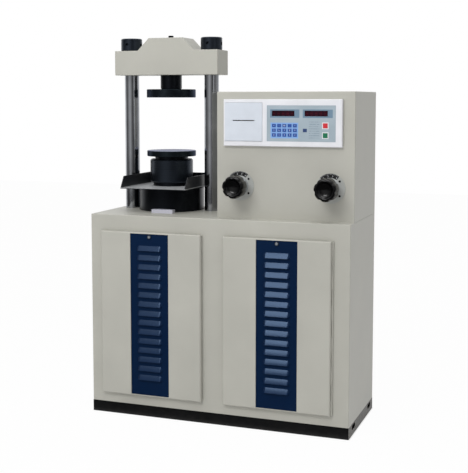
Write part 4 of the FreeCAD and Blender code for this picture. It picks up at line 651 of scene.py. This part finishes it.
# %% Put the finishes on the nodes
finish_of_slot = dict(
    beige_paint=beige_paint, navy_paint=navy_paint, black_paint=black_enamel, primer_grey=primer_grey,
    gloss_black=gloss_black, ground_steel=ground_steel, chrome_bar=chrome_bar, zinc_plate=zinc_plate,
    collar_metal=collar_metal, dial_metal=dial_metal, bezel_plastic=bezel_plastic, printer_plastic=printer_plastic,
    film=film, display_glass=display_glass, bakelite=bakelite, switch_plastic=switch_plastic,
    vial_plastic=vial_plastic, seal_rubber=seal_rubber, board=board_green, paper=paper_white,
)
finish_of_node = dict(
    tray=tray_enamel, lower_platen=lower_face, upper_platen=upper_face, column_nuts=blued_steel,
    ram_head=blued_steel, door_lock_left=lock_steel, door_lock_right=lock_steel,
)
for part in frame["record"]["subparts"]:
    name = part["node"]
    mesh = nodes[name].data
    mesh.materials.clear()
    mesh.materials.append(finish_of_node.get(name, finish_of_slot[part["material_slot"]]))
print("dressed", len(nodes), "nodes")

# %% [markdown]
# ## Geometry Nodes for what repeats
# Screws, louvres and scale marks repeat, so each kind is a small Geometry Nodes tree with named sizes. The tree
# takes points, sets one shape on each and ends as real mesh. The result is copied out as a plain mesh that rides
# on its body.

# %% Growing a mesh from a tree
class Growth(Recipe):
    """A Geometry Nodes tree with named sizes, from points to finished mesh."""

    def __init__(self, name, **sizes):
        tree = bpy.data.node_groups.new(name, "GeometryNodeTree")
        super().__init__(tree)
        tree.interface.new_socket("Points", in_out="INPUT", socket_type="NodeSocketGeometry")
        tree.interface.new_socket("Mesh", in_out="OUTPUT", socket_type="NodeSocketGeometry")
        self.sizes = {}
        for size, value in sizes.items():
            socket = tree.interface.new_socket(size, in_out="INPUT", socket_type="NodeSocketFloat")
            socket.default_value = value
            self.sizes[size] = socket.identifier
        self.entry = self.node("NodeGroupInput")

    def __getitem__(self, size):
        return self.entry.others(size)[0]

    def raised(self, shape, lift):
        up = self.node("ShaderNodeCombineXYZ", inputs={2: lift})
        return self.node("GeometryNodeTransform", inputs={"Geometry": shape, "Translation": up})

    def box(self, wide, deep, high, lift):
        size = self.node("ShaderNodeCombineXYZ", inputs={0: wide, 1: deep, 2: high})
        return self.raised(self.node("GeometryNodeMeshCube", inputs={"Size": size}), lift)

    def stand_up(self):
        """The turn that takes +Z to each point's facing, after its own spin about +Z."""
        named = "GeometryNodeInputNamedAttribute"
        facing = self.node(named, {"data_type": "FLOAT_VECTOR"}, {"Name": "facing"})
        spin = self.node(named, {"data_type": "FLOAT"}, {"Name": "turn"})
        about = self.node("ShaderNodeCombineXYZ", inputs={2: spin})
        spun = self.node("FunctionNodeEulerToRotation", inputs={0: about})
        up = self.node("FunctionNodeAlignRotationToVector", {"axis": "Z"}, {"Vector": facing})
        both = {"Rotation": up, "Rotate By": spun}
        return self.node("FunctionNodeRotateRotation", {"rotation_space": "LOCAL"}, both)

    def set_on_points(self, shape, finish):
        """One shape on each point, made real and given its finish."""
        placed = {"Points": self["Points"], "Instance": shape, "Rotation": self.stand_up()}
        copies = self.node("GeometryNodeInstanceOnPoints", inputs=placed)
        real = self.node("GeometryNodeRealizeInstances", inputs={"Geometry": copies})
        dressed = self.node("GeometryNodeSetMaterial", inputs={"Geometry": real, "Material": finish})
        self.node("NodeGroupOutput", inputs={"Mesh": dressed})

    def grow(self, name, places, body, slot, **sizes):
        """Points at (place, facing, turn) become one mesh that rides on the body."""
        seeds = bpy.data.meshes.new(name)
        seeds.from_pydata([place for place, _, _ in places], [], [])
        seeds.attributes.new("facing", "FLOAT_VECTOR", "POINT")
        seeds.attributes.new("turn", "FLOAT", "POINT")
        facing = seeds.attributes["facing"].data
        turn = seeds.attributes["turn"].data
        for index, (_, direction, angle) in enumerate(places):
            facing[index].vector = direction
            turn[index].value = angle
        piece = in_scene(name, seeds)
        modifier = piece.modifiers.new("grow", "NODES")
        modifier.node_group = self.tree
        for size, value in sizes.items():
            modifier[self.sizes[size]] = value
        graph = bpy.context.evaluated_depsgraph_get()
        grown_mesh = bpy.data.meshes.new_from_object(piece.evaluated_get(graph))
        piece.modifiers.remove(modifier)
        piece.data = grown_mesh
        piece.data.name = name
        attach(piece, body)
        print(name, "has", len(grown_mesh.polygons), "faces on", len(places), "places")
        return piece


# %% [markdown]
# ## Screws
# Pan head screws with a cross recess hold the covers at the back along their rims, the starter plate at its corners
# and the wires at the switches. The head is a low cone cut by two bars. Each screw is turned by a different angle, as
# a fitter leaves them. The covers are the outermost faces at the back, so their screws lie nearly flush.

# %% Pan head screws
BACK = (0, 1, 0)
FRONT = (0, -1, 0)
UP = (0, 0, 1)
GOLDEN_ANGLE = 2.399


def pan_head(metal):
    tree = Growth("pan_head_screw", Radius=4 * MM, Height=2.2 * MM)
    radius, height = tree["Radius"], tree["Height"]
    cone = {"Vertices": 20, "Radius Top": radius * 0.68, "Radius Bottom": radius, "Depth": height}
    head = tree.node("GeometryNodeMeshCone", inputs=cone)
    for wide, deep in ((1.1, 0.2), (0.2, 1.1)):
        bar = tree.box(radius * wide, radius * deep, height, height * 1.1)
        cut = {"Mesh 1": head, "Mesh 2": bar}
        head = tree.node("GeometryNodeMeshBoolean", {"operation": "DIFFERENCE"}, cut)
    tree.set_on_points(head, metal)
    return tree


def spin_of(index):
    """A different turn for each screw, the same in every run."""
    return (index * GOLDEN_ANGLE) % math.pi


def along(start, end, number):
    return [Vector(start).lerp(Vector(end), step / (number - 1)) for step in range(number)]


def facing_points(points, direction):
    return [(point, direction, spin_of(index)) for index, point in enumerate(points)]


screw = pan_head(zinc_plate)
print("a screw is", len(screw.tree.nodes), "nodes")

# %% Screws in their places
COVER_INSET = 9 * MM
STARTER_INSET = 10 * MM
SWITCHES = 4
SWITCH_WIDTH = 45 * MM
SWITCH_NOSE = 12 * MM
TERMINALS = (9 * MM, 22.5 * MM, 36 * MM)


def rim_points(node, across, up):
    """Points just inside the edge of a flat cover, on its outer face at the back."""
    low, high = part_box(node)
    left, right = low.x + COVER_INSET, high.x - COVER_INSET
    bottom, top = low.z + COVER_INSET, high.z - COVER_INSET
    found = []
    for x in (left, right):
        found += along((x, high.y, bottom), (x, high.y, top), up)
    for z in (bottom, top):
        found += along((left, high.y, z), (right, high.y, z), across)[1:-1]
    return found


covers = facing_points(rim_points("rear_panel", 6, 5) + rim_points("console_rear_cover", 3, 4), BACK)
screw.grow("cover_screws", covers, "machine", "zinc_plate", Radius=4.2 * MM, Height=0.3 * MM)
starter_low, starter_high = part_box("starter_plate")
corners = [
    (x, starter_low.y, z)
    for x in (starter_low.x + STARTER_INSET, starter_high.x - STARTER_INSET)
    for z in (starter_low.z + STARTER_INSET, starter_high.z - STARTER_INSET)
]
screw.grow("starter_screws", facing_points(corners, FRONT), "machine", "zinc_plate")
switch_low, switch_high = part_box("contactors")
SWITCH_PITCH = (switch_high.x - switch_low.x - SWITCH_WIDTH) / (SWITCHES - 1)
terminals = [
    (switch_low.x + number * SWITCH_PITCH + across, switch_low.y + SWITCH_NOSE, z)
    for number in range(SWITCHES)
    for across in TERMINALS
    for z in (switch_low.z + 9 * MM, switch_high.z - 9 * MM)
]
terminals = facing_points(terminals, FRONT)
screw.grow("terminal_screws", terminals, "machine", "zinc_plate", Radius=3.2 * MM, Height=1.6 * MM)

# %% [markdown]
# ## Hexagon bolts
# Hexagon bolts along its rim draw down the oil tank's lid. A cylinder with six sides is already the head, and a
# flat washer lies under it.

# %% Hexagon bolts
BOLT_INSET = 9 * MM
LID_SHEET = 8 * MM


def hex_bolt():
    tree = Growth("hexagon_bolt", Radius=5.8 * MM, Height=4 * MM)
    radius, height = tree["Radius"], tree["Height"]
    washer_sheet = height * 0.25
    head = {"Vertices": 6, "Radius": radius, "Depth": height}
    washer = {"Vertices": 24, "Radius": radius * 1.25, "Depth": washer_sheet}
    join = tree.node("GeometryNodeJoinGeometry")
    for shape, lift in ((head, washer_sheet + height * 0.5), (washer, washer_sheet * 0.5)):
        solid = tree.raised(tree.node("GeometryNodeMeshCylinder", inputs=shape), lift)
        tree.tree.links.new(solid.socket, join.socket.node.inputs[0])
    tree.set_on_points(join, zinc_plate)
    return tree


tank_low, tank_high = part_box("oil_tank")
rim_x = (tank_low.x + BOLT_INSET, tank_high.x - BOLT_INSET)
rim_y = (BOLT_INSET - tank_high.y, 0, tank_high.y - BOLT_INSET)
lid_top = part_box("tank_lid")[0].z + LID_SHEET
lid_points = [(x, y, lid_top) for x in rim_x for y in rim_y]
hex_bolt().grow("lid_bolts", facing_points(lid_points, UP), "machine", "zinc_plate")

# %% [markdown]
# ## Louvres
# Each strip is one steel sheet with fifteen louvres pressed out of it. A louvre starts flush at its top, slopes out
# in a straight line to its lip and stays open below. The flat slope mirrors the soft light all at once, which makes
# the pale bands. A grid in Geometry Nodes, bent by a sum, makes one, and Solidify gives it the sheet's thickness.

# %% One louvre
LOUVRE_WIDTH = 88 * MM
LOUVRE_HEIGHT = 16 * MM
LOUVRE_RISE = 8 * MM
CHEEK = 9 * MM


def louvre():
    """A hood in the XY plane: top edge at y = 0, lip at -Height and Rise proud of the sheet."""
    tree = Growth("louvre", Width=LOUVRE_WIDTH, Height=LOUVRE_HEIGHT, Rise=LOUVRE_RISE, Cheek=CHEEK)
    width, height, rise = tree["Width"], tree["Height"], tree["Rise"]
    grid = tree.node("GeometryNodeMeshGrid", inputs={"Vertices X": 41, "Vertices Y": 13})
    where = tree.node("GeometryNodeInputPosition")
    across, up = tree.node("ShaderNodeSeparateXYZ", inputs={0: where}).others("X", "Y")
    down = 0.5 - up
    to_end = (0.5 - across.size()) * width
    closing = 1 - (to_end / tree["Cheek"]).clamped()
    cheek = 1 - closing ** 2.2
    slope = down * (1.12 - down * 0.12)
    corner = closing * closing * height * 0.42
    place = {0: across * width, 1: (0 - down) * (height - corner) - corner, 2: rise * slope * cheek}
    moved = {"Geometry": grid, "Position": tree.node("ShaderNodeCombineXYZ", inputs=place)}
    tree.set_on_points(tree.node("GeometryNodeSetPosition", inputs=moved), navy_paint)
    return tree


pressed = louvre()
print("a louvre is", len(pressed.tree.nodes), "nodes")

# %% [markdown]
# ## The strips' sheets
# The sheet has an opening behind each louvre and a square hole for the lock. It is a grid of faces that leaves some
# out, which needs no cutting and keeps every edge straight. Sheet and louvres ride on their door and take the place
# of the CAD strip, whose louvres have a rounder form.

# %% Sheets with slots
def new_piece(name, points, faces, finish, body, slot):
    mesh = bpy.data.meshes.new(name)
    mesh.from_pydata(points, [], faces)
    mesh.materials.append(finish)
    piece = in_scene(name, mesh)
    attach(piece, body)
    return piece


def sheet_with_slots(low, high, slots, front):
    """Points and faces of a flat sheet facing -Y, with rectangular holes."""
    across = sorted({low.x, high.x} | {x for slot in slots for x in slot[:2]})
    up = sorted({low.z, high.z} | {z for slot in slots for z in slot[2:]})
    points = [(x, front, z) for z in up for x in across]
    faces = []
    for row in range(len(up) - 1):
        for column in range(len(across) - 1):
            x = (across[column] + across[column + 1]) / 2
            z = (up[row] + up[row + 1]) / 2
            if any(left < x < right and bottom < z < top for left, right, bottom, top in slots):
                continue
            corner = row * len(across) + column
            faces.append((corner, corner + 1, corner + 1 + len(across), corner + len(across)))
    return points, faces


def thicken(piece, sheet):
    """Gives a sheet its thickness behind its front face."""
    solid = piece.modifiers.new("sheet", "SOLIDIFY")
    solid.thickness = sheet
    solid.offset = -1


# %% Two louvred strips
LOUVRES = 15
LOUVRE_PITCH = 30.6 * MM
LOUVRE_FIRST = 572 * MM
SLOT_INSET = 4 * MM
SHEET = 1.5 * MM
PRESSED_SHEET = 1.1 * MM
LOCK_HOLE = 5.3 * MM
tops = [LOUVRE_FIRST - LOUVRE_PITCH * number for number in range(LOUVRES)]


def louvred_strip(side):
    node = f"louvre_strip_{side}"
    body = f"{side}_door"
    low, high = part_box(node)
    middle = (low.x + high.x) / 2
    face = low.y + LOUVRE_RISE
    half = LOUVRE_WIDTH / 2 - SLOT_INSET
    slots = [(middle - half, middle + half, top - LOUVRE_HEIGHT, top - 2 * MM) for top in tops]
    x, z = lock_centre(side)
    slots.append(grown(x, x, z, z, LOCK_HOLE))
    points, faces = sheet_with_slots(low, high, slots, face)
    sheet = new_piece(f"louvre_sheet_{side}", points, faces, navy_paint, body, "navy_paint")
    thicken(sheet, SHEET)
    places = [((middle, face, top), FRONT, 0.0) for top in tops]
    hoods = pressed.grow(f"louvres_{side}", places, body, "navy_paint")
    thicken(hoods, PRESSED_SHEET)
    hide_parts(node)


for side in ("left", "right"):
    louvred_strip(side)

# %% [markdown]
# ## Valve dials
# Behind each valve knob sits a plain disc with a black label along its upper edge. The label carries white numbers
# and fine marks, and four black screws hold the disc. Label and marks are thin solids on the disc. A place on a
# dial is an angle and a radius.

# %% Dial labels
dial_low, dial_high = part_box("valve_dials")
DIAL_RADIUS = 47 * MM
DIAL_FACE = dial_low.y
VALVE_Z = (dial_low.z + dial_high.z) / 2
valve_places = (dial_low.x + DIAL_RADIUS, dial_high.x - DIAL_RADIUS)
LABEL_START = -46
LABEL_END = 36
LABEL_INNER = 33 * MM
LABEL_OUTER = 46.4 * MM
LABEL_SHEET = 0.3 * MM
LABEL_STEPS = 40


def outward(piece):
    """Turns every face of a closed mesh outwards."""
    shape = bmesh.new()
    shape.from_mesh(piece.data)
    bmesh.ops.remove_doubles(shape, verts=shape.verts, dist=1e-7)
    bmesh.ops.recalc_face_normals(shape, faces=shape.faces)
    shape.to_mesh(piece.data)
    shape.free()


def on_dial(valve_x, radius, degrees, lift=0.0):
    """A place on a dial, at an angle clockwise from its top."""
    angle = math.radians(degrees)
    return (valve_x + radius * math.sin(angle), DIAL_FACE - lift, VALVE_Z + radius * math.cos(angle))


def tube(rings):
    """Points and faces of a tube through rings with equally many points, closed at both ends."""
    number = len(rings[0])
    points = [point for ring in rings for point in ring]
    last = len(points) - number
    faces = [tuple(range(number)), tuple(range(last, len(points)))]
    for start in range(0, last, number):
        for side in range(number):
            other = (side + 1) % number
            faces.append((start + side, start + other, start + number + other, start + number + side))
    return points, faces


points, faces = [], []
section = ((LABEL_INNER, 0), (LABEL_OUTER, 0), (LABEL_OUTER, LABEL_SHEET), (LABEL_INNER, LABEL_SHEET))
angles = [LABEL_START + (LABEL_END - LABEL_START) * step / LABEL_STEPS for step in range(LABEL_STEPS + 1)]
for valve_x in valve_places:
    rings = [[on_dial(valve_x, radius, degrees, lift) for radius, lift in section] for degrees in angles]
    more, sides = tube(rings)
    faces += [tuple(len(points) + corner for corner in side) for side in sides]
    points += more
outward(new_piece("dial_labels", points, faces, black_print, "machine", "bakelite"))
print("dial labels have", len(faces), "faces")

# %% [markdown]
# ## Marks and screws on the dials
# The marks are small bars on points along the label, one every six degrees. The dark screws reuse the screws' tree.

# %% Marks and screws on the dials
MARK_RADIUS = 44.6 * MM
MARK_STEP = 6
DIAL_SCREW_RADIUS = 37 * MM
DIAL_SCREW_ANGLES = (52, 128, -128, -62)


def scale_mark():
    tree = Growth("scale_mark", Length=2.4 * MM, Width=0.7 * MM, Thickness=0.2 * MM)
    bar = tree.box(tree["Width"], tree["Length"], tree["Thickness"], tree["Thickness"] * 0.5)
    tree.set_on_points(bar, white_print)
    return tree


mark_places = [
    (on_dial(valve_x, MARK_RADIUS, degrees, LABEL_SHEET), FRONT, math.radians(degrees))
    for valve_x in valve_places
    for degrees in range(LABEL_START + 4, LABEL_END, MARK_STEP)
]
scale_mark().grow("label_marks", mark_places, "machine", "bezel_plastic")
screw_places = [
    (on_dial(valve_x, DIAL_SCREW_RADIUS, degrees), FRONT, spin_of(degrees))
    for valve_x in valve_places
    for degrees in DIAL_SCREW_ANGLES
]
dark_screw = pan_head(bakelite)
dark_screw.grow("dial_screws", screw_places, "machine", "bakelite", Radius=3.6 * MM, Height=2 * MM)

# %% [markdown]
# ## Numbers in raised print
# The dials carry the numbers 1 to 4, which lean with the dial, and the keys digits and signs. Blender's own text
# gives the outlines. Each is made a mesh at the origin, and only its points are moved, so that the piece itself
# stays at the origin unturned. The print stands up by a tenth of a millimetre.

# %% Raised print
PRINT_HALF = 0.05 * MM
TEXT_SIZE = 1.4


def glyph(text, height):
    """The outline of a text as points and faces, centred, in the XY plane."""
    curve = bpy.data.curves.new("number", "FONT")
    curve.body = text
    curve.size = height * TEXT_SIZE
    curve.align_x = "CENTER"
    curve.align_y = "CENTER"
    curve.extrude = PRINT_HALF
    holder = in_scene("number", curve)
    graph = bpy.context.evaluated_depsgraph_get()
    mesh = bpy.data.meshes.new_from_object(holder.evaluated_get(graph))
    bpy.data.objects.remove(holder)
    points = [tuple(v.co) for v in mesh.vertices]
    faces = [tuple(p.vertices) for p in mesh.polygons]
    bpy.data.meshes.remove(mesh)
    return points, faces


def print_numbers(name, places, height):
    """White numbers facing -Y at (text, place, turn), turn clockwise in radians."""
    points, faces = [], []
    for text, (x, y, z), turn in places:
        shape, sides = glyph(text, height)
        first = len(points)
        for across, up, out in shape:
            along_x = across * math.cos(turn) + up * math.sin(turn)
            along_z = up * math.cos(turn) - across * math.sin(turn)
            points.append((x + along_x, y - out, z + along_z))
        faces += [tuple(first + corner for corner in side) for side in sides]
    outward(new_piece(name, points, faces, white_print, "machine", "bezel_plastic"))
    print(name, "carries", len(places), "numbers")


# %% Numbers on dials and keys
NUMBER_RADIUS = 38.2 * MM
NUMBER_ANGLES = (-34, -12, 10, 30)
KEY_NAMES = (*"0123456789+-", "00", ".", "=")
dial_numbers = [
    (str(number), on_dial(valve_x, NUMBER_RADIUS, degrees, LABEL_SHEET + PRINT_HALF), math.radians(degrees))
    for valve_x in valve_places
    for number, degrees in enumerate(NUMBER_ANGLES, 1)
]
print_numbers("dial_numbers", dial_numbers, 5.6 * MM)
key_numbers = []
for index, name in enumerate(KEY_NAMES):
    row, column = divmod(index, KEY_COLUMNS)
    x = KEYS_LEFT + column * KEY_PITCH_ACROSS + KEY_WIDTH / 2
    z = KEYS_LOW + row * KEY_PITCH_UP + KEY_HEIGHT / 2
    key_numbers.append((name, (x, film_low.y - PRINT_HALF, z), 0.0))
print_numbers("key_numbers", key_numbers, 4.6 * MM)

# %% [markdown]
# ## Valve knobs
# The knobs are glossy moulded handwheels. Seven finger hollows run round the rim, and the front is dished, so it
# gathers a crescent of light. The outline is a circle with a wave in it, and a profile of radii and depths is swept
# round it; the wave fades towards the hub and the dish.

# %% Lobed knobs
LOBES = 7
LOBE_DEPTH = 2.6 * MM
KNOB_STEPS = 168
# Each ring of the profile: radius and distance from the knob's back in millimetres, and share of the wave.
KNOB_PROFILE = (
    (22.0, 0.0, 0.0), (22.0, 6.5, 0.0), (23.0, 7.6, 0.0), (29.0, 8.2, 0.3), (33.0, 9.6, 0.7), (35.2, 12.5, 1.0),
    (36.2, 17.0, 1.0), (36.6, 26.0, 1.0), (36.6, 38.0, 1.0), (36.2, 44.0, 1.0), (35.2, 48.6, 1.0), (33.4, 51.6, 0.9),
    (31.0, 53.4, 0.7), (28.6, 54.0, 0.5), (26.6, 53.4, 0.3), (24.6, 51.4, 0.15), (21.6, 48.0, 0.0),
    (17.6, 45.2, 0.0), (13.0, 43.6, 0.0), (8.0, 42.8, 0.0), (3.0, 42.5, 0.0),
)


def lobed_knob(name, node, body, valve_x):
    low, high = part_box(node)
    angles = [math.tau * step / KNOB_STEPS for step in range(KNOB_STEPS)]
    rings = []
    for radius, depth, wave in KNOB_PROFILE:
        ring = []
        for angle in angles:
            hollow = max(0.0, math.cos(LOBES * angle)) ** 1.5 * LOBE_DEPTH
            reach = radius * MM - hollow * wave
            ring.append((valve_x + reach * math.sin(angle), high.y - depth * MM, VALVE_Z + reach * math.cos(angle)))
        rings.append(ring)
    piece = new_piece(name, *tube(rings), bakelite, body, "bakelite")
    outward(piece)
    piece.data.shade_smooth()
    piece.data.set_sharp_from_angle(angle=math.radians(50))
    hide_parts(node)
    print(name, "is", round(high.y - low.y, 4), "m deep")


lobed_knob("return_handwheel", "return_knob", "return_valve", valve_places[0])
lobed_knob("delivery_handwheel", "delivery_knob", "delivery_valve", valve_places[1])

# %% [markdown]
# ## Floor
# The floor is white and shows itself to the camera a little brighter than it is, so that it meets the white
# surroundings without an edge and still keeps a soft shadow. Under the machine it stays plain, and in front its
# mirror image in glossy pieces is dim, as in a room.

# %% Floor
FLOOR_HALF = 8.0
FLOOR_WHITE = (0.93, 0.93, 0.93, 1)
WHITE = (1, 1, 1, 1)
SELF_SHOWN = 0.97
FLOOR_IN_GLOSS = (0.06, 0.06, 0.06, 1)
FRONT_EDGE = 30 * MM
CONTACT_EDGE = 10 * MM
floor_mesh = bpy.data.meshes.new("floor")
floor_corners = [(x * FLOOR_HALF, y * FLOOR_HALF, 0) for x, y in ((-1, -1), (1, -1), (1, 1), (-1, 1))]
floor_mesh.from_pydata(floor_corners, [], [(0, 1, 2, 3)])
in_scene("floor", floor_mesh)


def floor_finish():
    finish = Finish("floor_white")
    matt = finish.node("ShaderNodeBsdfDiffuse", inputs={"Color": FLOOR_WHITE})
    path = finish.node("ShaderNodeLightPath")
    straight, mirrored, through = path.others("Is Camera Ray", "Is Glossy Ray", "Is Transmission Ray")
    in_front = ((plinth_low.y - finish.y) / FRONT_EDGE).clamped()
    shown = finish.mix(mirrored * in_front, WHITE, FLOOR_IN_GLOSS)
    glow = finish.node("ShaderNodeEmission", inputs={"Color": shown})
    under_x = finish.x.between(plinth_low.x, plinth_high.x, CONTACT_EDGE)
    under_y = finish.y.between(plinth_low.y, plinth_high.y, CONTACT_EDGE)
    share = (straight + mirrored + through).clamped() * (1 - under_x * under_y) * SELF_SHOWN
    both = finish.node("ShaderNodeMixShader", inputs={0: share, 1: matt, 2: glow})
    finish.node("ShaderNodeOutputMaterial", inputs={"Surface": both})
    return finish.material


floor_mesh.materials.append(floor_finish())
print("floor", 2 * FLOOR_HALF, "m wide")

# %% [markdown]
# ## Surroundings
# The camera sees plain white all round. Matt surfaces get an even light that is weaker from the right, so that the
# cabinet's side is darker than its front. Glossy pieces mirror a studio: white behind and overhead, and in front a
# dim room with one broad window, which gives the columns their stripes.

# %% Surroundings
AMBIENT = 0.6
AMBIENT_LOSS = 0.36
ROOM = 0.11
WINDOW = 0.5
WINDOW_X = -0.22
WINDOW_HALF = 0.72
world = bpy.data.worlds.new("surroundings")
world.use_nodes = True
bpy.context.scene.world = world
sky = Recipe(world.node_tree)
sky.tree.nodes.clear()
direction = sky.node("ShaderNodeTexCoord", output="Generated")
to_x, to_y, to_z = sky.node("ShaderNodeSeparateXYZ", inputs={0: direction}).others("X", "Y", "Z")
right = ((to_x - 0.5) / 0.3).clamped()
behind = ((to_y + 0.25) / 0.35).clamped() * (1 - right * 0.7)
above = ((to_z - 0.42) / 0.27).clamped()
window = (1 - (to_x - WINDOW_X).size() / WINDOW_HALF).clamped()
room = ROOM + window * WINDOW
studio = room + (1 - room) * (behind + above).clamped()
rays = sky.node("ShaderNodeLightPath").others("Is Camera Ray", "Is Transmission Ray", "Is Glossy Ray")
straight = (rays[0] + rays[1]).clamped()
mirrored = rays[2]
ambient = AMBIENT - AMBIENT_LOSS * (to_x * 1.4).clamped()
strength = (ambient * (1 - mirrored) + studio * mirrored) * (1 - straight) + straight
backdrop = sky.node("ShaderNodeBackground", inputs={"Color": WHITE, "Strength": strength})
sky.node("ShaderNodeOutputWorld", inputs={"Surface": backdrop})
print("surroundings: white behind, a dim room in front")

# %% [markdown]
# ## Light
# One large soft light stands high to the left of the camera and makes most of the picture. A weak one from the right
# keeps the cabinet's side from falling too dark, and one overhead lifts the roof and the tops of the platens.

# %% Light
MIDDLE = (0, 0, 0.7)


def soft_light(name, place, size, power):
    lamp = bpy.data.lights.new(name, "AREA")
    lamp.shape = "RECTANGLE"
    lamp.size, lamp.size_y = size
    lamp.energy = power
    holder = in_scene(name, lamp)
    holder.location = place
    toward = Vector(MIDDLE) - Vector(place)
    holder.rotation_euler = toward.to_track_quat("-Z", "Y").to_euler()


soft_light("key", (-0.7, -3.2, 3.22), (1.9, 1.3), 53)
soft_light("fill", (2.8, -2.0, 1.6), (1.2, 1.8), 3)
soft_light("top", (0.5, -0.9, 3.2), (1.4, 1.4), 14)
bpy.context.scene.view_settings.view_transform = "Standard"
